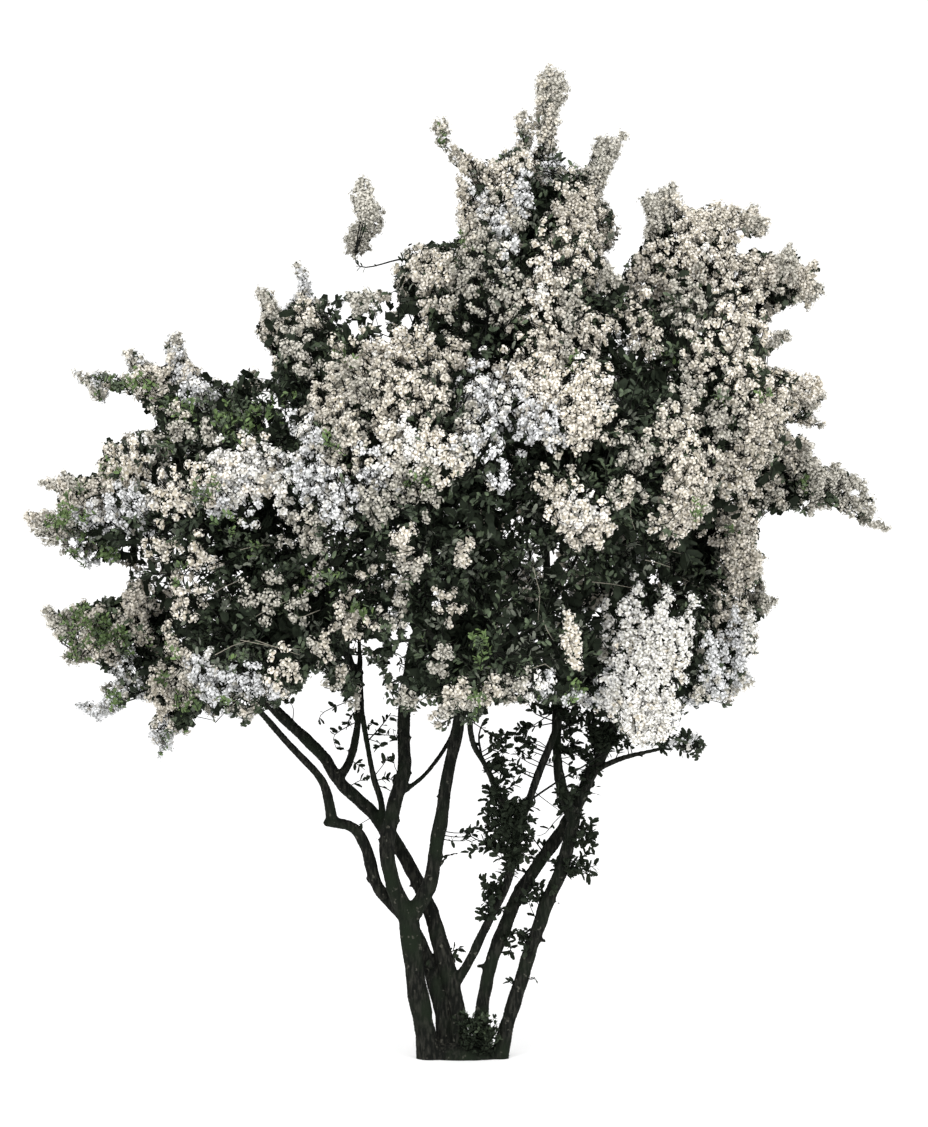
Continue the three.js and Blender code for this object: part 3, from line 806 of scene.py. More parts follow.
@dataclass
class Joined:
    """Many small shapes in one mesh."""

    points: list[np.ndarray] = field(default_factory=list)
    faces: list[np.ndarray] = field(default_factory=list)
    count: int = 0

    def add(self, points: np.ndarray, faces: np.ndarray) -> None:
        """Takes in one shape.

        Args:
            points: Its points.
            faces: Its triangles, as numbers of its points.
        """
        self.points.append(points)
        self.faces.append(faces + self.count)
        self.count += len(points)

    def repeat(self, shape: tuple[np.ndarray, np.ndarray], at: np.ndarray, axes: np.ndarray) -> None:
        """Takes in a shape many times.

        Args:
            shape: Its points and triangles.
            at: Where each copy's origin goes, one a row.
            axes: Each copy's x, y and z axes as rows, scaled.
        """
        points, triangles = shape
        placed = at[:, None, :] + np.einsum("pk,nkd->npd", points, axes)
        offsets = np.arange(len(at))[:, None, None] * len(points)
        self.add(placed.reshape(-1, 3), (triangles[None] + offsets).reshape(-1, 3))

    def tubes(self, lines: np.ndarray, radii: np.ndarray, sides: int) -> None:
        """Takes in thin twigs as tubes that end in a point.

        Args:
            lines: The twigs' points: twigs, points of each, coordinates.
            radii: The radius at each point.
            sides: How many sides the tubes have.
        """
        twigs, steps = lines.shape[:2]
        run = unit(lines[:, -1] - lines[:, 0])
        side = unit(np.cross(run, np.where(np.abs(run[:, 2:]) > 0.9, [[1.0, 0, 0]], [[0, 0, 1.0]])))
        tangents = unit(np.gradient(lines, axis=1))
        first = unit(side[:, None] - tangents * (side[:, None] * tangents).sum(-1, keepdims=True))
        second = np.cross(tangents, first)
        angles = np.arange(sides) * 2 * math.pi / sides
        ring = np.cos(angles)[:, None] * first[:, :, None] + np.sin(angles)[:, None] * second[:, :, None]
        points = (lines[:, :, None] + ring * radii[:, :, None, None]).reshape(-1, 3)
        i = np.arange(sides)
        j = (i + 1) % sides
        quads = np.stack([i, j, j + sides, i + sides], 1)
        one = np.concatenate([quads[:, [0, 1, 2]], quads[:, [0, 2, 3]]])
        whole = (one[None] + (np.arange(steps - 1) * sides)[:, None, None]).reshape(-1, 3)
        offsets = np.arange(twigs)[:, None, None] * steps * sides
        self.add(points, (whole[None] + offsets).reshape(-1, 3))

    def object(self, name: str, material: bpy.types.Material, smooth: bool = False) -> bpy.types.Object:
        """Makes the joined mesh an object.

        Args:
            name: The object's name.
            material: Its material.
            smooth: Whether its faces are shaded smooth.

        Returns:
            The object.
        """
        points = np.vstack(self.points).astype(np.float32)
        faces = np.vstack(self.faces).astype(np.int32)
        mesh = bpy.data.meshes.new(name)
        mesh.vertices.add(len(points))
        mesh.vertices.foreach_set("co", points.ravel())
        mesh.loops.add(faces.size)
        mesh.loops.foreach_set("vertex_index", faces.ravel())
        mesh.polygons.add(len(faces))
        mesh.polygons.foreach_set("loop_start", np.arange(len(faces), dtype=np.int32) * 3)
        mesh.polygons.foreach_set("use_smooth", np.full(len(faces), smooth))
        mesh.update(calc_edges=True)
        mesh.materials.append(material)
        made = bpy.data.objects.new(name, mesh)
        bpy.context.scene.collection.objects.link(made)
        return made


# ---------------------------------------------------------------------------------------------
# The bark


@dataclass
class Bark:
    """The stems and boughs with the bark's relief: one skin below the crown, one inside it."""

    shop: FinishShop
    crown_height: float = 0.95
    overlap: float = 0.02
    lower_voxel: float = 0.0038
    upper_voxel: float = 0.0055
    softening: tuple[int, int] = (3, 2)  # how often each skin's joints are smoothed
    ring_spacing: float = 0.018
    sides: int = 12
    swell: float = 0.16
    swells_a_metre: float = 13.0
    bend: float = 0.18
    bends_a_metre: float = 9.0
    collar: float = 0.28
    collar_run: float = 2.2
    flare_top: float = 0.058
    flare_spread: float = 0.35
    foot: float = 0.02
    mound: tuple[float, float, float] = (0.092, 0.046, 0.040)
    relief_spacing: float = 0.012
    relief_radius: float = 0.017
    lumps: tuple[float, float] = (0.0020, 34.0)  # height, and how many to a metre
    ridges: tuple[float, float] = (0.0012, 120.0)
    grain: tuple[float, float] = (0.0007, 260.0)
    lower_starts_below: float = 940.0  # the limbs' points that tell their skins, in millimetres
    upper_ends_above: float = 960.0
    stub_profile: tuple[float, ...] = (1.3, 1.1, 1.0, 0.95, 0.6)
    stubs: tuple[tuple[float, float, float, float, float], ...] = (
        # the knobs and stubs of lost side shoots: root px and py, tip px and py, radius
        (381, 890, 367, 877, 0.0085), (334, 822, 324, 825, 0.0105), (372, 856, 372, 848, 0.0060),
        (380, 842, 376, 838, 0.0030), (396, 826, 401, 820, 0.0032), (435, 880, 447, 856, 0.0042),
        (410, 889, 406, 886, 0.0032), (347, 752, 342, 749, 0.0026), (407, 738, 413, 737, 0.0034),
        (408, 776, 415, 772, 0.0028), (554, 900, 562, 905, 0.0030), (539, 940, 546, 942, 0.0052),
        (587, 802, 593, 801, 0.0028), (585, 817, 589, 815, 0.0026), (583, 836, 589, 833, 0.0028),
        (583, 841, 589, 842, 0.0026), (596, 792, 606, 787, 0.0030), (594, 795, 603, 796, 0.0026),
        (641, 750, 643, 758, 0.0038), (481, 962, 476, 966, 0.0050), (424, 1047, 418, 1049, 0.0034),
        (450, 992, 453, 986, 0.0030), (455, 860, 459, 853, 0.0024), (440, 800, 436, 796, 0.0026),
        (415, 930, 413, 924, 0.0040), (402, 900, 399, 896, 0.0030), (520, 890, 514, 886, 0.0034),
    )

    def _tube(self, bm: bmesh.types.BMesh, line: np.ndarray, radii: np.ndarray) -> None:
        """Extrudes a ring of edges along a line.

        Args:
            bm: The mesh that it goes in.
            line: The line's points.
            radii: The radius at each.
        """
        tangents = unit(np.gradient(line, axis=0))
        side = unit(np.cross(tangents[0], [0.0, 1.0, 0.02]))
        frames = []
        for point, radius, tangent in zip(line, radii, tangents):
            side = unit(side - tangent * (side @ tangent))
            other = np.cross(tangent, side)
            frame = Matrix.Identity(4)
            for row in range(3):
                frame[row][0] = side[row] * radius
                frame[row][1] = other[row] * radius
                frame[row][2] = tangent[row] * radius
                frame[row][3] = point[row]
            frames.append(frame)
        ring = bmesh.ops.create_circle(bm, cap_ends=True, segments=self.sides, radius=1.0)["verts"]
        bmesh.ops.transform(bm, matrix=frames[0], verts=ring)
        edges = list({e for v in ring for e in v.link_edges})
        for before, after in zip(frames, frames[1:]):
            grown = bmesh.ops.extrude_edge_only(bm, edges=edges)["geom"]
            ring = [g for g in grown if isinstance(g, bmesh.types.BMVert)]
            inside = set(ring)
            edges = [g for g in grown if isinstance(g, bmesh.types.BMEdge) and set(g.verts) <= inside]
            bmesh.ops.transform(bm, matrix=after @ before.inverted(), verts=ring)
        bmesh.ops.contextual_create(bm, geom=edges)

    def _course(self, own: Limb) -> tuple[np.ndarray, np.ndarray]:
        """A limb's line with its swellings, its collar, and its flare at the ground.

        Args:
            own: The limb.

        Returns:
            The line and its radii.
        """
        line, radii = own.line(self.ring_spacing)
        run = np.arange(len(line)) * self.ring_spacing
        seed = float(sum(map(ord, own.name)))
        swell = np.array([noise.noise(Vector((s * self.swells_a_metre, seed, 0.5))) for s in run])
        radii = radii * (1 + self.swell * swell)
        bends = np.array([[noise.noise(Vector((s * self.bends_a_metre, seed, k))) for k in (3.5, 7.5)]
                          for s in run])
        line = line + np.column_stack([bends, np.zeros(len(run))]) * self.bend * radii[:, None]
        if line[0, 2] < 0.001:
            low = np.clip(1 - line[:, 2] / self.flare_top, 0, 1)
            radii = radii * (1.0 + self.flare_spread * low**2)
            line = np.vstack([line[:1] - [0, 0, self.foot], line])
            radii = np.concatenate([radii[:1], radii])
        else:
            fade = np.exp(-run / (self.collar_run * own.radius * MILLIMETRE))
            radii = radii * (1 + self.collar * fade)
        return line, radii

    def _skin(self, bm: bmesh.types.BMesh, name: str, voxel: float, softening: int) -> bpy.types.Object:
        """One skin over all the tubes in a mesh.

        Args:
            bm: The tubes, which are freed.
            name: The skin's name.
            voxel: The size of its faces.
            softening: How often its joints are smoothed.

        Returns:
            The skin.
        """
        bmesh.ops.recalc_face_normals(bm, faces=bm.faces[:])
        mesh = bpy.data.meshes.new(name + "_tubes")
        bm.to_mesh(mesh)
        bm.free()
        rough = bpy.data.objects.new(name + "_tubes", mesh)
        bpy.context.scene.collection.objects.link(rough)
        remesh = rough.modifiers.new("skin", "REMESH")
        remesh.mode = "VOXEL"
        remesh.voxel_size = voxel
        depsgraph = bpy.context.evaluated_depsgraph_get()
        skin = bpy.data.meshes.new_from_object(rough.evaluated_get(depsgraph))
        bpy.data.objects.remove(rough)
        bpy.data.meshes.remove(mesh)
        skin.name = name
        bm = bmesh.new()
        bm.from_mesh(skin)
        for _ in range(softening):
            bmesh.ops.smooth_vert(bm, verts=bm.verts[:], factor=0.5, use_axis_x=True,
                                  use_axis_y=True, use_axis_z=True)
        bm.normal_update()
        self._relief(bm)
        if min(v.co.z for v in bm.verts) < 0:
            cut = bmesh.ops.bisect_plane(bm, geom=bm.verts[:] + bm.edges[:] + bm.faces[:],
                                         plane_co=(0, 0, 0), plane_no=(0, 0, 1), clear_inner=True)
            rim = [g for g in cut["geom_cut"] if isinstance(g, bmesh.types.BMEdge)]
            bmesh.ops.holes_fill(bm, edges=rim, sides=0)
        bmesh.ops.recalc_face_normals(bm, faces=bm.faces[:])
        for face in bm.faces:
            face.smooth = True
        bm.to_mesh(skin)
        bm.free()
        skin.materials.clear()
        skin.materials.append(self.shop.bark())
        made = bpy.data.objects.new(name, skin)
        bpy.context.scene.collection.objects.link(made)
        return made

    def _relief(self, bm: bmesh.types.BMesh) -> None:
        """Moves a skin in and out: broad lumps, and ridges that run along each limb.

        Args:
            bm: The skin.
        """
        samples = []
        for own in LIMBS:
            line, radii = own.line(self.relief_spacing)
            samples += [(point, radius, self.relief_spacing * i)
                        for i, (point, radius) in enumerate(zip(line, radii))]
        tree = kdtree.KDTree(len(samples))
        for i, (point, _, _) in enumerate(samples):
            tree.insert(point, i)
        tree.balance()
        moves = []
        for v in bm.verts:
            _, i, _ = tree.find(v.co)
            point, radius, run = samples[i]
            around = v.co - Vector(point)
            place = Vector((around.x, around.y, 0.25 * (around.z + run) + 0.6 * around.z))
            lump = noise.noise(v.co * self.lumps[1])
            ridge = 1 - 2 * abs(noise.noise(place * self.ridges[1]))
            grain = noise.noise(place * self.grain[1])
            size = min(1.0, radius / self.relief_radius)
            moves.append(size * (self.lumps[0] * lump + self.ridges[0] * ridge + self.grain[0] * grain))
        for v, move in zip(bm.verts, moves):
            v.co += v.normal * move

    def build(self) -> list[bpy.types.Object]:
        """Both skins."""
        lower, upper = bmesh.new(), bmesh.new()
        for own in LIMBS:
            line, radii = self._course(own)
            low = line[:, 2] < self.crown_height + self.overlap
            high = line[:, 2] > self.crown_height - self.overlap
            if low.sum() > 2:
                self._tube(lower, line[low], radii[low])
            if high.sum() > 2:
                self._tube(upper, line[high], radii[high])
        mound = bmesh.ops.create_uvsphere(lower, u_segments=24, v_segments=12, radius=1.0)["verts"]
        bmesh.ops.scale(lower, vec=self.mound, verts=mound)
        for root_x, root_y, tip_x, tip_y, radius in self.stubs:
            root = carrier_at(root_x, root_y)
            tip = PICTURE.point(tip_x, tip_y, root[1])
            along = np.linspace(0, 1, len(self.stub_profile))[:, None]
            self._tube(lower, root + (tip - root) * along, radius * np.array(self.stub_profile))
        made = [
            self._skin(lower, "bark_below_crown", self.lower_voxel, self.softening[0]),
            self._skin(upper, "bark_in_crown", self.upper_voxel, self.softening[1]),
        ]
        for skin in made:
            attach(skin, "root")
        lower_limbs = [own.name for own in LIMBS if own.points[0][2] < self.lower_starts_below]
        upper_limbs = [own.name for own in LIMBS if own.points[-1][2] > self.upper_ends_above]
        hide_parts("root_crown", *lower_limbs)
        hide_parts(*upper_limbs)
        return made


def carrier_at(px: float, py: float, spacing: float = 0.01, pixels_a_metre: float = 4.0) -> np.ndarray:
    """The point on a limb's middle line that a pixel shows, or the nearest one to it.

    Args:
        px: Pixels from the picture's left edge.
        py: Pixels from its top edge.
        spacing: The distance between the points that are tried.
        pixels_a_metre: What a metre further back counts for, against a pixel aside.

    Returns:
        The point, the frontmost where limbs cross.
    """
    best, found = FAR_AWAY, None
    for own in LIMBS:
        line, radii = own.line(spacing)
        gap = np.linalg.norm(PICTURE.pixels(line) - [px, py], axis=1)
        gap = np.maximum(gap - radii / PICTURE.metres_per_pixel, 0) + pixels_a_metre * line[:, 1]
        i = int(gap.argmin())
        if gap[i] < best:
            best, found = gap[i], line[i]
    return found


# ---------------------------------------------------------------------------------------------
# The crown


@dataclass(frozen=True)
class BlossomGroup:
    """Panicles that stand together: their patch's middle and half sizes in pixels, and how many."""

    px: float
    py: float
    wide: float
    high: float
    count: int
    tone: Tone


# the tones by one letter, the next darker of each, which a panicle's low umbels take as painted shade,
# and the one that is mixed in with each
W, C, B, K, D = Tone.WHITE, Tone.CREAM, Tone.BEIGE, Tone.COOL, Tone.DUSK
DARKER = {W: C, C: B, B: D, K: D, D: D}
BESIDE = {W: C, C: W, B: C, K: W, D: B}
GROUPS = tuple(BlossomGroup(*row) for row in (
    # the top of the crown
    (490, 168, 14, 8, 4, B), (510, 168, 16, 8, 5, B), (505, 200, 14, 8, 3, B), (462, 205, 5, 20, 8, B),
    (470, 232, 8, 16, 5, B), (482, 208, 7, 14, 4, K), (500, 226, 10, 16, 5, K), (522, 202, 8, 12, 4, K),
    (575, 205, 18, 22, 6, B), (592, 230, 16, 24, 8, B), (560, 235, 22, 18, 3, B),
    (515, 222, 12, 10, 4, D), (478, 250, 16, 18, 4, D), (508, 248, 10, 12, 3, K),
    (524, 176, 5, 12, 2, K),
    (425, 275, 26, 28, 12, B), (465, 285, 16, 22, 4, D), (545, 285, 18, 20, 6, C),
    (570, 305, 14, 16, 4, D), (510, 300, 20, 20, 4, D), (605, 185, 10, 22, 3, D),
    # the upper right
    (655, 215, 16, 22, 5, D), (690, 222, 20, 18, 6, B), (728, 228, 20, 20, 6, B),
    (762, 225, 12, 14, 4, B), (700, 262, 26, 20, 8, C), (650, 265, 18, 20, 7, B),
    (745, 275, 26, 22, 12, B), (800, 265, 16, 18, 6, B), (808, 292, 12, 14, 3, D),
    (690, 305, 24, 18, 4, D), (735, 320, 24, 20, 6, B), (775, 335, 16, 14, 4, B),
    (700, 352, 22, 16, 4, B), (745, 372, 24, 20, 6, B), (800, 392, 20, 14, 6, C),
    (765, 415, 20, 16, 6, B), (680, 395, 16, 22, 3, D), (715, 415, 22, 18, 5, D),
    (778, 450, 20, 18, 9, B),
    # the middle of the crown, from the upper left down to the right
    (345, 368, 18, 16, 5, B), (378, 355, 22, 16, 7, B), (412, 352, 22, 16, 8, C),
    (445, 362, 18, 16, 5, B), (350, 395, 22, 16, 6, D), (390, 395, 24, 18, 7, B),
    (432, 398, 22, 16, 4, B), (328, 405, 20, 18, 7, B), (480, 388, 16, 22, 7, K),
    (515, 378, 18, 16, 5, C), (545, 395, 24, 18, 9, C), (585, 392, 22, 20, 9, C),
    (600, 340, 24, 16, 6, B), (560, 345, 18, 14, 3, D), (500, 415, 18, 18, 5, K),
    (540, 430, 26, 14, 6, K), (590, 425, 22, 14, 6, B), (470, 430, 14, 16, 3, D),
    (400, 450, 22, 18, 7, W), (435, 455, 20, 18, 8, C), (458, 470, 12, 12, 2, B),
    (375, 470, 18, 16, 4, K), (425, 490, 22, 12, 3, D),
    (640, 455, 20, 18, 4, D), (685, 430, 16, 20, 4, B), (690, 475, 22, 20, 7, B),
    (690, 516, 26, 16, 9, B), (720, 500, 22, 20, 8, B), (735, 530, 18, 18, 6, B),
    (758, 480, 16, 18, 8, B), (740, 545, 16, 22, 9, B), (745, 500, 14, 16, 6, B),
    (728, 470, 14, 20, 5, B), (742, 575, 14, 14, 6, B), (775, 500, 12, 10, 4, D),
    (728, 612, 14, 20, 6, B),
    # the pinkish cream patch right of the middle
    (545, 485, 14, 8, 3, B), (565, 512, 22, 14, 6, C), (600, 528, 18, 14, 6, C),
    (590, 548, 18, 8, 4, B), (625, 495, 12, 12, 2, D),
    # the far right shoot and the edge under it
    (818, 478, 14, 12, 3, D), (852, 492, 14, 8, 3, D), (880, 520, 6, 6, 1, D),
    (770, 602, 8, 6, 2, D), (748, 580, 10, 12, 4, B),
    # the left: the shoulder, the band across, and the far tips
    (178, 360, 12, 22, 7, K), (196, 385, 14, 14, 5, K), (155, 374, 20, 12, 6, B),
    (125, 360, 8, 8, 2, K), (165, 425, 24, 14, 4, D), (200, 435, 20, 10, 3, D),
    (266, 316, 12, 20, 6, B), (298, 312, 12, 20, 5, B), (300, 285, 6, 12, 2, K),
    (290, 345, 18, 14, 3, D), (118, 456, 20, 16, 9, C), (95, 485, 18, 14, 6, B),
    (208, 480, 16, 20, 5, C), (224, 470, 14, 20, 7, W), (246, 466, 18, 22, 8, W),
    (206, 496, 14, 8, 3, C), (292, 470, 12, 14, 3, K),
    (268, 475, 18, 22, 8, W), (236, 486, 20, 12, 4, K),
    (170, 498, 26, 12, 6, C), (128, 505, 20, 12, 5, K), (60, 508, 22, 12, 6, B),
    (42, 525, 14, 8, 3, D), (90, 520, 18, 10, 4, K), (310, 478, 16, 22, 6, K),
    (335, 500, 22, 18, 6, K), (330, 455, 16, 18, 3, D), (350, 445, 16, 16, 3, B),
    (300, 520, 22, 12, 4, D), (375, 505, 20, 12, 4, D), (295, 545, 20, 10, 3, D),
    # under the band
    (185, 553, 14, 8, 2, B), (178, 600, 16, 12, 5, B), (136, 600, 12, 14, 5, B),
    (203, 575, 10, 10, 2, B), (160, 642, 20, 12, 4, B), (85, 618, 26, 12, 4, B),
    (108, 645, 26, 12, 4, B), (82, 652, 16, 8, 2, B), (120, 668, 18, 10, 3, K), (150, 550, 14, 8, 3, B),
    (398, 550, 14, 10, 3, B), (415, 575, 12, 10, 2, D), (465, 562, 12, 12, 3, B),
    (312, 578, 10, 10, 1, D), (352, 625, 18, 9, 5, B), (350, 600, 12, 12, 2, B),
    (398, 608, 14, 14, 2, D), (285, 612, 10, 10, 1, D),
    (215, 500, 24, 10, 5, K), (105, 518, 24, 10, 6, K), (304, 436, 14, 14, 5, K),
    (140, 604, 14, 12, 4, B),
    (472, 449, 12, 14, 4, K), (554, 354, 16, 10, 3, B), (766, 256, 16, 10, 5, B),
    (773, 470, 14, 14, 5, D),
    (689, 530, 16, 10, 4, B), (138, 374, 18, 12, 5, B), (195, 392, 14, 12, 4, K),
    (170, 684, 18, 12, 5, D),
    (134, 612, 14, 12, 4, B), (262, 602, 12, 12, 2, D), (70, 512, 14, 8, 3, K), (240, 590, 10, 10, 1, D),
    (640, 292, 16, 18, 6, B), (648, 335, 14, 16, 4, B), (540, 340, 20, 12, 3, B),
    (585, 255, 18, 14, 5, B),
    # the skirt, from the left to the right
    (165, 700, 22, 18, 7, B), (205, 690, 24, 18, 7, K), (245, 688, 18, 20, 4, K),
    (280, 672, 14, 16, 3, B), (268, 702, 12, 8, 2, K), (95, 708, 16, 8, 5, K),
    (168, 738, 12, 12, 3, K), (235, 715, 18, 8, 3, D), (320, 652, 12, 12, 2, D),
    (398, 704, 14, 8, 3, D), (440, 665, 14, 10, 2, D), (452, 695, 14, 10, 3, B),
    (492, 693, 14, 10, 3, B), (520, 688, 12, 12, 3, D), (545, 690, 12, 12, 4, K),
    (470, 712, 12, 8, 2, D), (437, 722, 8, 8, 2, D),
    (592, 700, 12, 12, 3, K), (690, 738, 8, 5, 2, K), (652, 725, 24, 14, 6, W),
))


class Freedom(IntEnum):
    """How far out something may stand."""

    WITHIN = 0
    AT_EDGE = 1
    CLEAR = 2
    ON_LAST_STEM = 3


@dataclass(frozen=True)
class Spire:
    """One panicle that stands out by itself: its tip and base, and its width, in pixels.

    Its freedom is how far out of the crown it may stand, where the last one is clear of the crown
    too, on the stem of the panicle before it.
    """

    tip: tuple[float, float]
    base: tuple[float, float]
    wide: float
    tone: Tone
    freedom: int = Freedom.WITHIN


SPIRES = tuple(Spire((row[0], row[1]), (row[2], row[3]), *row[4:]) for row in (
    # the white cluster, the cool one beside it, and the column to their left
    (636, 577, 634, 645, 19, W), (625, 600, 627, 668, 21, W), (607, 600, 611, 668, 14, W),
    (668, 589, 664, 650, 20, W), (658, 608, 661, 672, 26, W), (694, 597, 682, 644, 14, W),
    (676, 618, 674, 676, 20, W), (646, 618, 648, 676, 18, W),
    (686, 643, 680, 684, 12, W), (648, 640, 646, 694, 16, W), (618, 655, 622, 716, 24, W),
    (640, 648, 640, 712, 26, W), (662, 650, 660, 716, 30, W), (632, 690, 636, 736, 24, W),
    (655, 690, 655, 740, 28, W), (640, 716, 640, 750, 18, W), (674, 696, 668, 735, 20, W),
    (608, 672, 612, 712, 16, W), (709, 634, 712, 686, 19, K), (724, 638, 722, 688, 14, K),
    (734, 609, 733, 662, 18, K), (751, 612, 748, 668, 20, W), (742, 640, 742, 698, 24, K),
    (700, 684, 700, 714, 16, D), (735, 682, 735, 714, 14, D), (716, 668, 714, 704, 20, K),
    (568, 613, 570, 655, 16, C), (574, 630, 574, 672, 14, C),
    (622, 704, 628, 736, 20, W), (600, 690, 602, 714, 12, W), (652, 712, 652, 748, 22, W),
    # the tips of the top
    (550, 64, 551, 108, 34, D, 1), (548, 84, 549, 132, 24, D, 1), (552, 112, 548, 158, 22, D, 1),
    (521, 109, 523, 150, 22, D, 1), (438, 119, 443, 144, 20, D, 1), (447, 144, 453, 164, 3, D, 1),
    (598, 137, 600, 172, 18, D, 1), (610, 136, 604, 168, 26, D, 1), (625, 133, 608, 156, 14, D, 1),
    (602, 160, 598, 196, 20, D, 1), (558, 78, 556, 110, 22, D, 1), (540, 76, 544, 110, 18, D, 1),
    # the panicles that stand clear of it, beside it on the left
    (357, 229, 355, 255, 17, D, 2), (361, 182, 362, 206, 18, D, 3), (374, 206, 369, 234, 22, D, 3),
    (365, 196, 366, 220, 15, D, 3), (362, 220, 361, 246, 17, D, 3), (370, 192, 366, 212, 8, D, 3),
    # the tips of the right side
    (672, 184, 662, 212, 26, D, 1), (646, 194, 652, 226, 22, D, 1), (650, 200, 652, 240, 22, D, 1),
    (741, 206, 738, 232, 20, B, 1), (754, 206, 748, 230, 16, D, 1), (769, 216, 752, 236, 20, D, 1),
    (720, 202, 716, 226, 22, B), (698, 208, 696, 232, 22, B), (617, 262, 606, 290, 18, D, 1),
    (816, 263, 806, 290, 20, B, 1), (793, 246, 782, 278, 22, D, 1), (822, 288, 804, 298, 18, D, 1),
    (790, 331, 772, 346, 18, D, 1), (822, 381, 798, 394, 24, C, 1), (826, 396, 800, 406, 18, D, 1),
    (824, 422, 800, 428, 13, D, 1), (837, 456, 833, 482, 18, D, 1), (854, 470, 840, 490, 24, D, 1),
    (868, 480, 846, 498, 24, D, 1), (878, 500, 852, 506, 19, D, 1), (890, 531, 862, 516, 14, D, 1),
    (799, 432, 795, 460, 24, B, 1), (811, 444, 806, 470, 17, D, 1), (822, 468, 812, 490, 18, D, 1),
    (781, 597, 762, 606, 15, D, 1), (810, 445, 792, 452, 14, D, 1), (758, 552, 750, 578, 20, B),
    # the tips of the left side
    (295, 260, 305, 292, 19, D, 1), (304, 272, 309, 302, 16, K, 1), (257, 290, 268, 322, 17, D, 1),
    (272, 298, 274, 326, 14, D, 1), (177, 333, 182, 370, 24, D, 1), (190, 362, 192, 386, 18, B, 1),
    (124, 350, 142, 368, 15, D, 1), (74, 369, 108, 380, 14, D, 1), (25, 516, 58, 521, 20, B, 1),
    (34, 531, 62, 534, 18, D, 1), (46, 543, 76, 546, 14, D, 1), (35, 481, 64, 486, 11, D, 1),
    (64, 471, 80, 488, 15, D, 1), (44, 607, 72, 620, 18, D, 1), (46, 624, 74, 634, 16, D, 1),
    (60, 656, 86, 660, 14, D, 1), (70, 704, 98, 708, 14, K, 1), (90, 717, 112, 708, 14, K, 1),
    (92, 686, 112, 684, 11, D, 1), (159, 757, 163, 732, 14, K, 1), (173, 747, 180, 728, 11, K, 1),
    (350, 294, 356, 312, 20, D, 1), (364, 294, 370, 312, 18, D, 1), (126, 572, 112, 560, 14, D, 1),
    (100, 402, 92, 384, 14, D, 1),
))


@dataclass(frozen=True)
class Patch:
    """A patch of the crown: its middle and half sizes, in pixels."""

    px: float
    py: float
    wide: float
    high: float
    firmness: float = 1.4

    def share(self, pixels: np.ndarray) -> np.ndarray:
        """How deep in the patch pixels are: 1 in its middle, 0 outside it."""
        away = np.hypot((pixels[..., 0] - self.px) / self.wide, (pixels[..., 1] - self.py) / self.high)
        return np.clip(self.firmness * (1 - away), 0, 1)


# where few panicles stand
HOLLOWS = tuple(Patch(*row) for row in (
    # the broad hollows of the left and of the middle
    (490, 352, 40, 28), (625, 390, 28, 80), (285, 400, 30, 45), (250, 575, 110, 50),
    (240, 640, 90, 30), (455, 625, 95, 50), (500, 560, 45, 75), (625, 585, 90, 34),
    (540, 610, 40, 60), (690, 575, 60, 40), (340, 560, 55, 40), (120, 550, 55, 25),
    (430, 520, 60, 25), (560, 455, 60, 16), (650, 350, 22, 60), (230, 420, 60, 26),
    (520, 330, 40, 20), (665, 555, 60, 28), (140, 580, 40, 14), (90, 660, 40, 20),
    # the dark streams of the top
    (472, 188, 10, 16), (484, 200, 10, 12), (510, 184, 22, 9), (543, 150, 14, 30), (536, 206, 18, 16),
    (530, 246, 16, 22), (590, 200, 10, 30), (505, 268, 26, 10), (562, 215, 12, 24),
    # the dark places of the right side and of the middle
    (688, 337, 28, 20), (600, 472, 26, 24), (722, 258, 12, 22), (618, 300, 14, 40), (389, 524, 26, 20),
    (788, 310, 14, 22), (660, 385, 14, 30), (748, 345, 22, 10),
))
# where young leaves stand out from the blossom
FRESH_PATCHES = tuple(Patch(*row) for row in (
    (415, 477, 16, 12), (425, 470, 10, 12), (92, 382, 22, 14), (135, 378, 20, 12),
    (238, 418, 24, 20), (72, 552, 24, 14), (85, 622, 34, 18), (178, 402, 20, 12),
    (112, 625, 22, 16), (362, 612, 14, 12), (385, 624, 8, 8), (480, 640, 12, 18),
    (576, 690, 12, 10), (160, 745, 12, 12), (185, 700, 14, 10), (100, 695, 14, 8),
    (478, 700, 10, 16), (318, 575, 12, 10), (205, 480, 20, 14), (330, 440, 12, 12),
    (62, 606, 20, 12), (130, 638, 22, 14), (80, 640, 24, 12), (110, 556, 22, 10),
    (60, 515, 24, 14), (440, 130, 12, 10),
    (348, 350, 14, 10), (580, 355, 12, 10), (270, 405, 16, 18), (150, 592, 9, 10),
    (78, 488, 10, 9), (108, 466, 8, 8), (76, 548, 14, 12), (114, 553, 16, 9), (70, 658, 11, 6),
    (113, 695, 10, 6), (177, 734, 10, 14), (162, 674, 7, 6), (172, 573, 10, 10), (192, 496, 10, 7),
    (224, 518, 13, 8), (255, 537, 9, 10), (322, 572, 8, 9), (240, 650, 8, 7), (165, 645, 7, 6),
    (226, 698, 8, 6), (168, 440, 12, 8), (720, 392, 8, 6), (765, 392, 7, 6), (800, 480, 8, 7),
    (698, 502, 7, 8), (730, 530, 5, 8), (652, 342, 8, 8), (575, 357, 9, 6), (465, 238, 7, 7),
))


PIXELS_AT_ONCE = 4000


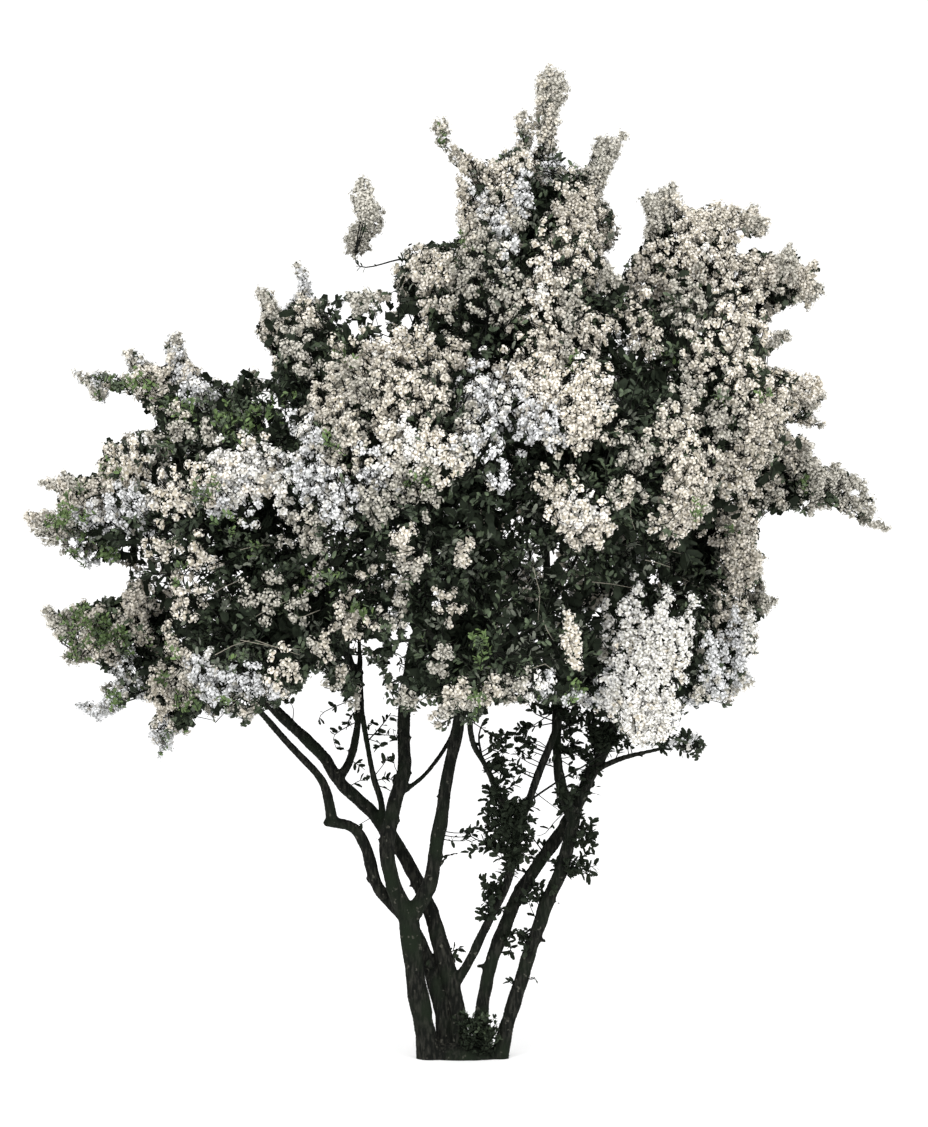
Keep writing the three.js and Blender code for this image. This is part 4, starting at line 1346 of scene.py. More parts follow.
@dataclass(frozen=True)
class CrownEdge:
    """The crown's edge and the openings that the sky shows through, in pixels of the picture."""

    corners: tuple[tuple[int, int], ...] = (
        (550, 62), (563, 72), (569, 85), (568, 97), (558, 108), (561, 120), (555, 130), (556, 148),
        (565, 158), (573, 162), (582, 168), (591, 160), (593, 145), (596, 134), (616, 138), (622, 131),
        (628, 136), (621, 146), (610, 175), (603, 190), (602, 200), (612, 203), (616, 216), (620, 229),
        (618, 240), (606, 257), (613, 266), (616, 276), (621, 274), (625, 263), (633, 252), (643, 246),
        (648, 218), (640, 200), (651, 190), (663, 188), (668, 182), (676, 182), (678, 195), (683, 205),
        (698, 207), (718, 200), (737, 203), (742, 213), (751, 204), (758, 207), (761, 219), (773, 217),
        (768, 228), (763, 237), (743, 237), (736, 257), (755, 247), (777, 257), (792, 243), (800, 265),
        (808, 268), (812, 260), (819, 259), (817, 272), (812, 280), (822, 284), (825, 293), (817, 301),
        (806, 311), (803, 301), (783, 307), (767, 325), (772, 332), (791, 328), (790, 340), (778, 346),
        (765, 358), (767, 368), (782, 366), (800, 373), (821, 377), (828, 398), (818, 407), (811, 419),
        (827, 422), (820, 429), (798, 424), (786, 427), (795, 437), (800, 432), (813, 444), (812, 454),
        (818, 460), (830, 467), (838, 458), (842, 470), (862, 477), (868, 488), (867, 498), (876, 498),
        (877, 508), (873, 516), (890, 528), (889, 532), (862, 524), (835, 508), (822, 507), (812, 519),
        (792, 511), (780, 515), (760, 517), (758, 535), (756, 548), (768, 555), (762, 570), (765, 597),
        (783, 596), (769, 612), (757, 622), (758, 656), (746, 656), (747, 667), (756, 676), (752, 687),
        (738, 693), (733, 700), (729, 713), (718, 703), (708, 701), (697, 706), (679, 722), (678, 732),
        (697, 733), (708, 745), (697, 762), (687, 754), (673, 750), (655, 750), (637, 747), (620, 734),
        (607, 724), (600, 715), (585, 708), (560, 706), (530, 704), (490, 705), (478, 722), (466, 727),
        (452, 720), (455, 733), (445, 735), (430, 725), (426, 712), (440, 707), (422, 707), (402, 718),
        (390, 714), (380, 703), (383, 690), (378, 668), (372, 664), (362, 680), (358, 712), (345, 715),
        (336, 692), (322, 692), (323, 675), (306, 682), (303, 692), (290, 696), (280, 704), (262, 713),
        (252, 718), (250, 729), (242, 730), (238, 721), (218, 712), (217, 728), (205, 712), (196, 717),
        (187, 737), (180, 730), (171, 738), (173, 748), (158, 760), (157, 745), (141, 740), (149, 733),
        (147, 723), (157, 712), (152, 703), (132, 699), (124, 710), (104, 717), (96, 722), (88, 714),
        (68, 703), (92, 703), (102, 701), (105, 692), (92, 687), (102, 686), (118, 679), (107, 674),
        (92, 663), (68, 663), (60, 657), (70, 648), (58, 644), (50, 628), (42, 614), (44, 605),
        (62, 611), (85, 598), (92, 603), (99, 597), (122, 596), (129, 577), (127, 567), (119, 562),
        (82, 570), (62, 552), (63, 544), (45, 544), (29, 529), (22, 516), (30, 511), (55, 512),
        (60, 494), (33, 480), (61, 477), (63, 468), (73, 476), (97, 475), (97, 462), (104, 459),
        (100, 447), (107, 439), (121, 443), (122, 434), (136, 430), (158, 428), (150, 411), (132, 397),
        (110, 391), (104, 405), (93, 397), (77, 383), (71, 371), (76, 365), (82, 375), (100, 372),
        (130, 372), (127, 360), (119, 348), (136, 351), (149, 363), (166, 367), (163, 345), (173, 331),
        (181, 331), (183, 346), (192, 364), (213, 378), (233, 384), (245, 367), (258, 371), (261, 382),
        (271, 379), (273, 364), (265, 345), (253, 330), (260, 325), (262, 308), (254, 287), (273, 290),
        (280, 314), (290, 302), (301, 289), (293, 264), (294, 258), (306, 271), (315, 296), (334, 298),
        (352, 290), (375, 290), (394, 292), (393, 268), (403, 250), (410, 242), (440, 243), (457, 236),
        (457, 200), (452, 165), (437, 142), (430, 133), (437, 116), (448, 118), (450, 144), (463, 150),
        (478, 161), (498, 156), (503, 148), (519, 146), (514, 120), (520, 107), (537, 112), (536, 90),
        (538, 75),
    )
    openings: tuple[tuple[float, float, float, float], ...] = (
        # middle, then half sizes
        (346, 310, 6, 9), (330, 310, 5, 5), (337, 323, 4, 4), (355, 330, 6, 7), (367, 320, 4, 5),
        (371, 307, 4, 4), (379, 321, 7, 7), (385, 336, 6, 6), (369, 341, 4, 3), (390, 307, 9, 6),
        (408, 322, 7, 8), (415, 253, 5, 3), (403, 263, 4, 6), (395, 297, 4, 5), (306, 332, 3, 3),
        (278, 405, 3, 3), (284, 410, 3, 3), (285, 420, 3, 3), (268, 424, 4, 4), (73, 543, 4, 6),
        (82, 553, 3, 3), (95, 552, 3, 3), (90, 557, 2, 2), (738, 232, 4, 5), (675, 234, 3, 3),
        (769, 443, 3, 3), (807, 500, 4, 4), (854, 493, 5, 4), (344, 655, 3, 5), (358, 645, 8, 5),
        (358, 662, 9, 10), (375, 644, 8, 6), (394, 635, 4, 5), (409, 632, 4, 8), (404, 649, 6, 7),
        (397, 667, 10, 10), (371, 685, 12, 20), (315, 681, 9, 8), (310, 711, 8, 9),
        (335, 712, 14, 20), (575, 730, 11, 12), (609, 740, 8, 7),
    )

    def inside(self, pixels: np.ndarray) -> np.ndarray:
        """Whether pixels lie within the edge.

        Args:
            pixels: Their px and py, one a row.

        Returns:
            True for each that does.
        """
        start = np.array(self.corners, float)
        end = np.roll(start, -1, axis=0)
        rise = np.where(end[:, 1] == start[:, 1], 1e-9, end[:, 1] - start[:, 1])
        found = []
        for part in np.array_split(pixels, len(pixels) // PIXELS_AT_ONCE + 1):
            x, y = part[:, :1], part[:, 1:]
            crosses = (start[:, 1] > y) != (end[:, 1] > y)
            at = start[:, 0] + (y - start[:, 1]) * (end[:, 0] - start[:, 0]) / rise
            found.append((crosses & (x < at)).sum(1) % 2 == 1)
        return np.concatenate(found)

    def shows(self, points: np.ndarray, margin: np.ndarray) -> np.ndarray:
        """Whether points are seen within the edge and clear of the openings.

        Args:
            points: Points, one a row.
            margin: How far within the edge each has to be, in pixels.

        Returns:
            True for each that is.
        """
        pixels = PICTURE.pixels(points)
        kept = np.ones(len(points), bool)
        for way in ((1, 0), (-1, 0), (0, 1), (0, -1)):
            kept &= self.inside(pixels + margin[:, None] * way)
        for px, py, wide, high in self.openings:
            kept &= np.hypot((pixels[:, 0] - px) / (wide + margin / 2),
                             (pixels[:, 1] - py) / (high + margin / 2)) > 1
        return kept

    def walk(self, spacing: float) -> list[tuple[np.ndarray, np.ndarray]]:
        """Places round the edge.

        Args:
            spacing: The distance between them, in pixels.

        Returns:
            Each place, and the way out of the crown there, as pixels.
        """
        corners = np.array([*self.corners, self.corners[0]], float)
        run = np.concatenate([[0], np.linalg.norm(np.diff(corners, axis=0), axis=1).cumsum()])
        at = np.arange(0, run[-1], spacing)
        places = np.stack([np.interp(at, run, corners[:, k]) for k in (0, 1)], 1)
        ahead = np.roll(places, -1, axis=0) - np.roll(places, 1, axis=0)
        out = unit(np.stack([ahead[:, 1], -ahead[:, 0]], 1))
        return list(zip(places, out))


EDGE = CrownEdge()


@dataclass
class Harvest:
    """What the growing plant bears, held as rows until the meshes are made.

    A leaf's row holds its start, run, face, length and freedom, and an umbel's its middle, the way
    it opens, its radius and freedom. Margins are in pixels.
    """

    leaves: dict[Green, list[np.ndarray]] = field(default_factory=lambda: {g: [] for g in Green})
    umbels: dict[Tone, list[np.ndarray]] = field(default_factory=lambda: {t: [] for t in Tone})
    twigs: dict[tuple[str, int, int], list[np.ndarray]] = field(default_factory=dict)
    freedom: int = Freedom.WITHIN
    margin: float = 2.0
    shade_margin: float = 5.0
    twig_margin: float = 1.0
    edge_share: float = 0.3
    clear_ahead: tuple[float, ...] = (0.010, 0.028)
    clear_radius: float = 0.016

    def leaf_rows(self, green: Green, at: np.ndarray, run: np.ndarray, face: np.ndarray,
                  length: np.ndarray) -> None:
        """Keeps leaves: where each starts, its run, the way it faces, and its length."""
        free = np.full(len(at), float(self.freedom))
        self.leaves[green].append(np.column_stack([at, run, face, length, free]))

    def umbel_rows(self, tone: Tone, at: np.ndarray, out: np.ndarray, radius: np.ndarray) -> None:
        """Keeps umbels: the middle of each, the way it opens, and its radius."""
        free = np.full(len(at), float(self.freedom))
        self.umbels[tone].append(np.column_stack([at, out, radius, free]))

    def twig(self, kind: str, line: np.ndarray, radii: Radii, sides: int = 3) -> None:
        """Keeps a twig.

        Args:
            kind: Its kind of bark.
            line: Its points.
            radii: Its radius at each end.
            sides: How many sides it has.
        """
        free = np.full(len(line), float(self.freedom))
        row = np.column_stack([line, np.linspace(*radii, len(line)), free])
        self.twigs.setdefault((kind, len(line), sides), []).append(row)

    @staticmethod
    def leaf_middles(rows: np.ndarray) -> np.ndarray:
        """The middle of each leaf."""
        return rows[:, :3] + rows[:, 3:6] * rows[:, 9:10] * 0.5

    def kept(self, points: np.ndarray, margin: float, freedom: np.ndarray) -> np.ndarray:
        """Whether points stay: those that may stand clear do, and others within the crown's edge.

        Args:
            points: The points, one a row.
            margin: How far within the edge they have to be, less for those that may touch it.
            freedom: The freedom of each.

        Returns:
            True for each that stays.
        """
        within = EDGE.shows(points, np.where(freedom > Freedom.WITHIN, self.edge_share * margin, margin))
        return (freedom > Freedom.AT_EDGE) | within

    def trim(self) -> None:
        """Drops what is seen past the crown's edge or in an opening, and leaves over the blossom."""
        for rows in (self.leaves, self.umbels):
            for kind, parts in rows.items():
                if parts:
                    whole = np.vstack(parts)
                    margin = self.shade_margin if kind is Green.SHADE else self.margin
                    middles = self.leaf_middles(whole) if rows is self.leaves else whole[:, :3]
                    rows[kind] = [whole[self.kept(middles, margin, whole[:, -1])]]
        for key, parts in self.twigs.items():
            if key[0] == "dark":
                whole = np.array(parts)
                finer = np.concatenate([whole, (whole[:, 1:] + whole[:, :-1]) / 2], 1)
                points, freedom = finer[:, :, :3].reshape(-1, 3), finer[:, :, 4].ravel()
                seen = self.kept(points, self.twig_margin, freedom).reshape(len(whole), -1)
                self.twigs[key] = list(whole[seen.all(1)])
        self.clear_blossom()

    def clear_blossom(self) -> None:
        """Drops the leaves that stand right before umbels, which open past the leaves."""
        umbels = np.vstack([parts[0] for parts in self.umbels.values() if parts])
        places = np.vstack([umbels[:, :3] + umbels[:, 3:6] * far for far in self.clear_ahead])
        tree = kdtree.KDTree(len(places))
        for i, place in enumerate(places):
            tree.insert(place, i)
        tree.balance()
        for green, parts in self.leaves.items():
            if parts and green not in (Green.SHADE, Green.FRESH):
                whole = parts[0]
                gap = np.array([tree.find(place)[2] for place in self.leaf_middles(whole)])
                free = whole[:, -1] > Freedom.WITHIN
                self.leaves[green] = [whole[free | (gap > self.clear_radius)]]


def bezier(points: tuple[np.ndarray, ...], count: int) -> np.ndarray:
    """Points along a cubic curve.

    Args:
        points: Its four control points.
        count: How many points.

    Returns:
        The points, one a row.
    """
    a, b, c, d = points
    t = np.linspace(0, 1, count)[:, None]
    return a * (1 - t) ** 3 + 3 * b * t * (1 - t) ** 2 + 3 * c * t**2 * (1 - t) + d * t**3


def along(line: np.ndarray, at: float) -> tuple[np.ndarray, np.ndarray]:
    """A line's point and direction at a place.

    Args:
        line: The line's points.
        at: The place, where 1 is the line's second point.

    Returns:
        The point and the direction there.
    """
    i = min(int(at), len(line) - 2)
    step = line[i + 1] - line[i]
    return line[i] + step * (at - i), unit(step)


@dataclass
class Grower:
    """Grows leaves and panicles, and keeps them in the harvest."""

    harvest: Harvest
    chance: np.random.Generator
    leaf_length: float = 0.019
    inner_leaf_length: float = 0.045
    panicle_length: float = 0.100
    panicle_girth: float = 0.046
    umbels: float = 12.0
    fewest_umbels: int = 5
    umbel_radius: float = 0.0090
    umbels_per_stalk: float = 2.6
    back_umbels: float = 0.72
    back_umbel_radius: float = 1.35
    sector: float = 2.0
    # where and how often a panicle's low umbels take the next darker tone: painted shade, partly older
    # flowers
    shaded_below: float = 0.35
    shaded_share: float = 0.3
    axis_radii: Radii = (0.0014, 0.0006)

    def scatter(self, count: int | None = None) -> np.ndarray:
        """Vectors of chance in a box from -1 to 1."""
        return self.chance.uniform(-1, 1, 3 if count is None else (count, 3))

    def place_in(self, px: float, py: float, wide: float, high: float) -> tuple[float, float]:
        """A pixel of chance in an oval.

        Args:
            px: The oval's middle, in pixels from the picture's left edge.
            py: Its middle from the top edge.
            wide: Half its width.
            high: Half its height.

        Returns:
            The px and py.
        """
        away, turn = math.sqrt(self.chance.random()), self.chance.uniform(0, 2 * math.pi)
        return px + wide * away * math.cos(turn), py + high * away * math.sin(turn)

    def panicle(self, tip: np.ndarray, axis: np.ndarray, size: float, tone: Tone,
                outward: np.ndarray) -> None:
        """A panicle of the usual proportions.

        Args:
            tip: The panicle's tip.
            axis: The way that it points.
            size: Its size, where 1 is 100 mm long.
            tone: Its colour.
            outward: The way out of the crown, the side that most umbels are on.
        """
        length = self.panicle_length * size * self.chance.uniform(0.85, 1.2)
        girth = self.panicle_girth * size * self.chance.uniform(0.9, 1.15)
        self.spire(tip - axis * length, tip, girth, self.umbels * size, tone, outward)

    def spire(self, base: np.ndarray, tip: np.ndarray, girth: float, umbels: float, tone: Tone,
              outward: np.ndarray, taper: float = 0.6) -> None:
        """A panicle: umbels round the outer side of an axis, narrower towards the tip, some low ones in
        the next darker tone as painted shade.

        Args:
            base: Where it starts.
            tip: Where it ends.
            girth: How wide it is.
            umbels: How many umbels it has on the front of the crown.
            tone: Its colour.
            outward: The way out of the crown, the side that most umbels are on.
            taper: How fast it narrows: less than one leaves its end blunt.
        """
        far = tip[1] > BACK_DEPTH
        axis = unit(tip - base)
        count = max(self.fewest_umbels, round(umbels * (self.back_umbels if far else 1.0)))
        stalks = max(2, round(count / self.umbels_per_stalk))
        t = (np.arange(stalks) + self.chance.uniform(0.1, 0.9, stalks)) / stalks
        face = outward - axis * (outward @ axis)
        sector = self.sector if np.linalg.norm(face) > 0.35 else math.pi
        face = unit(face + 1e-4 * self.scatter())
        side = unit(np.cross(axis, face))
        turn = (self.chance.random() + GOLDEN_SHARE * np.arange(stalks)) % 1
        angle = (turn - 0.5) * 2 * sector
        out = face * np.cos(angle)[:, None] + side * np.sin(angle)[:, None]
        reach = girth / 2 * (t + 0.12) ** 0.35 * (1.05 - t) ** taper * (1.1 + 0.4 * taper)
        reach = reach * self.chance.uniform(0.75, 1.2, stalks)
        stalk = np.arange(count) % stalks
        t, out, reach = t[stalk], out[stalk], reach[stalk] * self.chance.uniform(0.6, 1.05, count)
        size = self.back_umbel_radius if far else 1.0
        radius = self.umbel_radius * size * self.chance.uniform(0.8, 1.2, count)
        at = base + (tip - base) * t[:, None] + (out + 0.3 * axis) * reach[:, None]
        at += self.scatter(count) * radius[:, None]
        lift = axis * (0.25 + 0.8 * t)[:, None]
        opening = unit(out + lift + 0.4 * outward + 0.35 * self.scatter(count))
        # painted shade: some umbels low on the panicle take the next darker tone, partly for older
        # flowers
        shaded = (t < self.shaded_below) & (self.chance.random(count) < self.shaded_share)
        for colour, chosen in ((tone, ~shaded), (DARKER[tone], shaded)):
            if chosen.any():
                self.harvest.umbel_rows(colour, at[chosen], opening[chosen], radius[chosen])
        if not far:
            self.harvest.twig("dark", np.array([base, base + (tip - base) * 0.85]), self.axis_radii)

    def leaves(self, line: np.ndarray, count: int, green: Green, length: float,
               start: float = 0.15) -> None:
        """Leaves along a line, each turned on from the one before.

        Args:
            line: The line's points.
            count: How many leaves.
            green: Their colour.
            length: Their length.
            start: The share of the line that stays bare.
        """
        t = np.sort(self.chance.uniform(start, 1.0, count)) * (len(line) - 1)
        i = np.minimum(t.astype(int), len(line) - 2)
        part = (t - i)[:, None]
        at = line[i] * (1 - part) + line[i + 1] * part
        tangent = unit(line[i + 1] - line[i])
        side = unit(np.cross(tangent, self.scatter(count)))
        run = unit(0.60 * tangent + 0.95 * side + 0.15 * UP)
        face = unit(0.50 * UP + 0.80 * self.scatter(count) + 0.35 * tangent)
        size = length * self.chance.uniform(0.72, 1.15, count)
        self.harvest.leaf_rows(green, at, run, face, size)


def by_side(rows: np.ndarray) -> tuple[tuple[str, np.ndarray], ...]:
    """Rows that start with a point, parted into those of the crown's front and of its back."""
    return ("front", rows[rows[:, 1] < 0]), ("back", rows[rows[:, 1] >= 0])


@dataclass(frozen=True)
class UmbelPattern:
    """How the flowers stand on an umbel: how many, and how wide against the usual."""

    count: int
    widening: float = 1.0
    spread: float = 0.85

    def directions(self) -> np.ndarray:
        """The way from the umbel's middle to each flower, where it opens towards +Z."""
        z = 1 - (np.arange(self.count) + 0.5) * self.spread / self.count
        turn = GOLDEN_TURN * np.arange(self.count)
        flat = np.sqrt(1 - z * z)
        return np.stack([flat * np.cos(turn), flat * np.sin(turn), z], 1)


UMBEL_PATTERNS = {"front": UmbelPattern(count=6), "back": UmbelPattern(count=4, widening=1.15)}


@dataclass
class Crown:
    """The crown: boughs, shoots, leaves and panicles in every mass, then the joined meshes."""

    shop: FinishShop
    seed: int = 20
    flower_seed: int = 5
    front_limit: float = -0.790
    back_limit: float = 0.890
    small_mass: float = 0.08
    draw_steps: int = 14
    draw_step: float = 0.09
    arm_share: float = 0.62
    arm_arch: float = 0.12
    arm_stray: float = 0.05
    inner_shoots: int = 5
    inner_leaves: int = 10
    inner_length: tuple[float, float] = (0.06, 0.11)
    area_per_shoot: float = 0.0125
    shoots: tuple[int, int] = (14, 80)
    outer_share: float = 0.86
    shoot_leaves: int = 12
    shoot_twiglets: int = 3
    shoot_lean: float = 0.95
    hanging_lean: float = 0.45
    twiglet_places: tuple[float, float] = (0.38, 0.84)
    twiglet_length: tuple[float, float] = (0.055, 0.105)
    twiglet_leaves: int = 9
    twiglet_panicle: float = 0.6
    usual_spur_girth: float = 34.0  # millimetres
    spur_sag: float = 0.07
    spur_spacing: float = 0.028
    # the share of front panicles that take the dusk tone, partly painted shade, at random
    dusk_shade_share: float = 0.12
    drift_pace: float = 3.1
    drifts: tuple[tuple[float, Tone], ...] = (
        (-0.22, Tone.COOL), (-0.08, Tone.DUSK), (0.14, Tone.BEIGE), (0.28, Tone.CREAM))
    fresh_back: float = 0.1  # the y that the front's young leaves end at
    fresh_outer: float = 0.6
    stray_fresh_outer: float = 0.7
    # leaves nearer a mass's heart than this take the deep green, as painted shade
    painted_shade_outer: float = 0.55
    fresh_share: float = 0.9
    stray_fresh_share: float = 0.04
    greens: tuple[tuple[float, Green], ...] = (
        (0.42, Green.DEEP), (0.76, Green.MID), (1.0, Green.GREY))
    front_bloom: float = 0.52
    hollow_bareness: float = 0.97
    back_bloom: float = 1.35
    back_bloom_drift: float = 1.3
    back_drifts: float = 4.3  # to a metre
    back_panicle: float = 1.15
    panicle_sizes: tuple[float, float] = (0.8, 1.2)
    spur_panicle: float = 0.85
    spur_side_panicle: float = 0.52
    spur_blooms: tuple[float, float] = (0.9, 0.7)  # where the mass is in full blossom, and elsewhere
    group_share: float = 1.3
    group_depths: tuple[float, float] = (-0.01, 0.035)
    group_sizes: tuple[float, float] = (0.75, 1.25)
    group_leaves: int = 5
    other_tone_share: float = 0.22
    edge_spacing: float = 11.0  # pixels
    edge_reach: float = 1.25
    edge_inset: float = 3.0  # pixels
    edge_depths: tuple[float, float] = (-0.07, 0.05)
    edge_sizes: tuple[float, float] = (0.55, 0.85)
    edge_leaves: int = 7
    edge_lean: float = 0.9
    edge_blooms: tuple[float, float] = (0.9, 0.75)  # where the mass is in full blossom, and elsewhere
    lower_edge_blooms: float = 0.7
    spire_depths: tuple[float, float] = (-0.01, 0.02)
    spire_leaves: int = 6
    crowding: tuple[float, ...] = (1.25, 2.3, 4.2, 4.2)  # of a spire's umbels, by its freedom
    core_leaf_spacing: tuple[float, float] = (0.0035, 0.0015)  # at the edge, and clear of it
    core_leaf: float = 0.018
    core_leaf_share: float = 0.35  # of the spire's girth, at most
    pixels_per_spray: float = 24.0
    spray_leaves: int = 9
    fresh_leaf: float = 0.015
    shade_spacing: float = 23.0  # pixels
    shade_nudge: float = 9.0
    shade_floor: int = 690
    shade_length: float = 0.06
    shade_layers: tuple[tuple[float, float], ...] = ((0.12, 0.30), (0.30, 0.55))
    shade_reach: float = 1.12
    flower: float = 0.0064
    flower_sizes: tuple[float, float] = (0.85, 1.15)
    flower_reach: tuple[float, float] = (0.85, 1.2)
    flower_nudge: float = 0.22
    flower_growth: tuple[float, float] = (0.9, 1.3)  # with its umbel, at least and at most
    knot: float = 0.86
    stem_radii: Radii = (0.0085, 0.0055)
    small_stem_radii: Radii = (0.0035, 0.002)
    arm_radii: Radii = (0.0050, 0.0026)
    small_arm_radii: Radii = (0.0015, 0.001)
    inner_radii: Radii = (0.0016, 0.0009)
    shoot_radii: Radii = (0.0026, 0.0012)
    twiglet_radii: Radii = (0.0015, 0.0008)
    spur_radii: Radii = (0.0042, 0.0018)
    spire_radii: Radii = (0.0026, 0.0014)
    fresh_radii: Radii = (0.0012, 0.0006)
    shade_radii: Radii = (0.0014, 0.0010)
    harvest: Harvest = field(default_factory=Harvest)
    arms: dict[str, list[np.ndarray]] = field(default_factory=dict)

    def __post_init__(self) -> None:
        """Sets up the grower."""
        self.grower = Grower(self.harvest, np.random.default_rng(self.seed))
        self.chance = self.grower.chance
        self.group_places = np.array([[g.px, g.py] for g in GROUPS])

    def tone_at(self, point: np.ndarray) -> Tone:
        """The tone of the blossom in a part of the crown.

        Args:
            point: Where the blossom is.

        Returns:
            The tone: that of the nearest group on the front, and broad drifts elsewhere.
        """
        if point[1] < BACK_DEPTH:
            gap = np.linalg.norm(self.group_places - PICTURE.pixels(point), axis=1)
            near = GROUPS[int(gap.argmin())].tone
            return Tone.DUSK if self.chance.random() < self.dusk_shade_share else near
        drift = noise.noise(Vector(point) * self.drift_pace) + self.chance.uniform(-0.2, 0.2)
        return next((tone for limit, tone in self.drifts if drift < limit), Tone.WHITE)

    def green_at(self, point: np.ndarray, outer: float) -> Green:
        """The green of the leaves in a part of the crown, the deep green inside each mass as painted
        shade.

        Args:
            point: Where the leaves are.
            outer: How far out they are, from 0 at the mass's heart to 1.

        Returns:
            The green.
        """
        luck = self.chance.random()
        if point[1] < self.fresh_back and outer > self.fresh_outer:
            pixel = PICTURE.pixels(point)
            if luck < self.fresh_share * max(patch.share(pixel) for patch in FRESH_PATCHES):
                return Green.FRESH
        elif outer > self.stray_fresh_outer and luck < self.stray_fresh_share:
            return Green.FRESH
        # painted shade: the leaves inside the mass take the deep green
        if outer < self.painted_shade_outer:
            return Green.DEEP
        return next(green for limit, green in self.greens if luck < limit)

    def blossoms_at(self, own: Mass, point: np.ndarray, direction: np.ndarray) -> bool:
        """Whether a shoot ends in a panicle.

        Args:
            own: Its mass.
            point: Its tip.
            direction: The way from the mass's heart to the tip.

        Returns:
            True where it does.
        """
        likely = own.blossom * (0.75 + 0.35 * direction[2])
        if point[1] < BACK_DEPTH:
            pixel = PICTURE.pixels(point)
            hollow = max(patch.share(pixel) for patch in HOLLOWS)
            likely *= self.front_bloom * (1 - self.hollow_bareness * hollow)
        else:
            drift = noise.noise(Vector(point) * self.back_drifts + Vector((7, 3, 1)))
            likely *= self.back_bloom + self.back_bloom_drift * drift
        return self.chance.random() < likely

    def drawn_in(self, own: Mass, tip: np.ndarray) -> np.ndarray:
        """A tip drawn towards its mass's heart until it is seen within the crown's edge.

        Args:
            own: The mass.
            tip: The tip.

        Returns:
            The tip where it ends up.
        """
        tip = tip.copy()
        tip[1] = float(np.clip(tip[1], self.front_limit, self.back_limit))
        for _ in range(self.draw_steps):
            if EDGE.inside(PICTURE.pixels(tip[None]) - [0, 3])[0]:
                break
            tip[::2] += (own.heart - tip)[::2] * self.draw_step
        return tip

    @staticmethod
    def kept_in(own: Mass, point: np.ndarray) -> np.ndarray:
        """A point drawn back to its mass's surface where it is past it.

        Args:
            own: The mass.
            point: The point.

        Returns:
            The point where it ends up.
        """
        return own.heart + (point - own.heart) * min(1.0, 1.02 / max(float(own.far_out(point)), 1e-6))

    @staticmethod
    def mass_behind(px: float, py: float, masses: tuple[Mass, ...]) -> tuple[Mass, float]:
        """The mass that a pixel shows best.

        Args:
            px: Pixels from the picture's left edge.
            py: Pixels from its top edge.
            masses: The masses to choose from.

        Returns:
            The mass, and how far out of its middle the pixel shows it.
        """
        gaps = [own.far_out(PICTURE.point(px, py, own.heart[1])) for own in masses]
        best = int(np.argmin(gaps))
        return masses[best], gaps[best]

    def front_of(self, px: float, py: float) -> tuple[Mass, np.ndarray]:
        """The crown's front surface behind a pixel.

        Args:
            px: Pixels from the picture's left edge.
            py: Pixels from its top edge.

        Returns:
            The mass that is met first there, and the point where it is met.
        """
        eye = PICTURE.eye
        ray = unit(PICTURE.point(px, py) - eye)
        best, found = FAR_AWAY, None
        for own in CROWN_MASSES:
            start, step = (eye - own.heart) / own.half, ray / own.half
            a, b, c = step @ step, start @ step, start @ start - 1
            inside = b * b - a * c
            if inside > 0 and (-b - math.sqrt(inside)) / a < best:
                best, found = (-b - math.sqrt(inside)) / a, own
        if found is None:
            found, _ = self.mass_behind(px, py, CROWN_MASSES)
            return found, PICTURE.point(px, py, float(found.heart[1]))
        return found, eye + ray * best

    def arm_near(self, own: Mass, place: np.ndarray) -> np.ndarray:
        """The arm of a mass whose tip is nearest to a place."""
        return min(self.arms[own.name], key=lambda arm: np.linalg.norm(arm[-1] - place))

    def grow_shoot(self, own: Mass, tip: np.ndarray, outer: bool, panicle: float = 0.0,
                   tone: Tone | None = None, leaves: int | None = None, twiglets: int | None = None,
                   lean: float | None = None) -> None:
        """One shoot from the nearest arm of its mass to its tip, with leaves and twiglets.

        Args:
            own: The mass.
            tip: The shoot's tip.
            outer: Whether it reaches the crown's surface.
            panicle: The size of the panicle at its end, or 0.
            tone: The panicle's tone.
            leaves: How many leaves it bears, if not the usual number.
            twiglets: How many side twigs it bears, if not the usual number.
            lean: How strongly it turns upwards at its end.
        """
        direction = unit(tip - own.heart)
        arms = self.arms[own.name]
        arm = arms[int(np.argmax([unit(line[-1] - own.heart) @ direction for line in arms]))]
        start = arm[int(self.chance.integers(2, len(arm)))]
        length = float(np.linalg.norm(tip - start))
        if lean is None:
            lean = self.shoot_lean if direction[2] > -0.35 else self.hanging_lean
        axis = unit(0.6 * direction + lean * UP + 0.22 * self.grower.scatter())
        leave = unit(direction + 0.5 * unit(arm[-1] - arm[0]) + 0.25 * self.grower.scatter())
        line = bezier((start, start + leave * length * 0.35, tip - axis * length * 0.4, tip), 4)
        self.harvest.twig("dark", line, self.shoot_radii)
        # the shoots that stay inside the mass take the deep green, as painted shade
        share = 0.85 if outer else 0.45
        green = self.green_at(tip, share)
        self.grower.leaves(line, leaves or self.shoot_leaves, green, self.grower.leaf_length, 0.2)
        if panicle:
            self.grower.panicle(tip, axis, panicle, tone, direction)
        for place in np.linspace(*self.twiglet_places, twiglets or self.shoot_twiglets):
            root, tangent = along(line, place * (len(line) - 1))
            side = unit(np.cross(tangent, self.grower.scatter()))
            run = unit(0.6 * tangent + 0.9 * side + 0.3 * UP)
            end = self.kept_in(own, root + run * self.chance.uniform(*self.twiglet_length))
            twiglet = np.array([root, end])
            self.harvest.twig("dark", twiglet, self.twiglet_radii)
            green = self.green_at(end, share)
            self.grower.leaves(twiglet, self.twiglet_leaves, green, self.grower.leaf_length, 0.1)
            if outer and place > 0.5 and panicle and self.chance.random() < 0.5:
                size = self.twiglet_panicle * panicle
                self.grower.panicle(end, unit(run + 0.8 * UP), size, tone, direction)

    def grow_mass(self, own: Mass) -> None:
        """A mass: its stem, its arms and its shoots.

        Args:
            own: The mass.
        """
        small = own.mean_size < self.small_mass
        self.grow_stem(own, small)
        self.grow_arms(own, small)
        if not own.on_stems:
            self.grow_shoots(own, small)

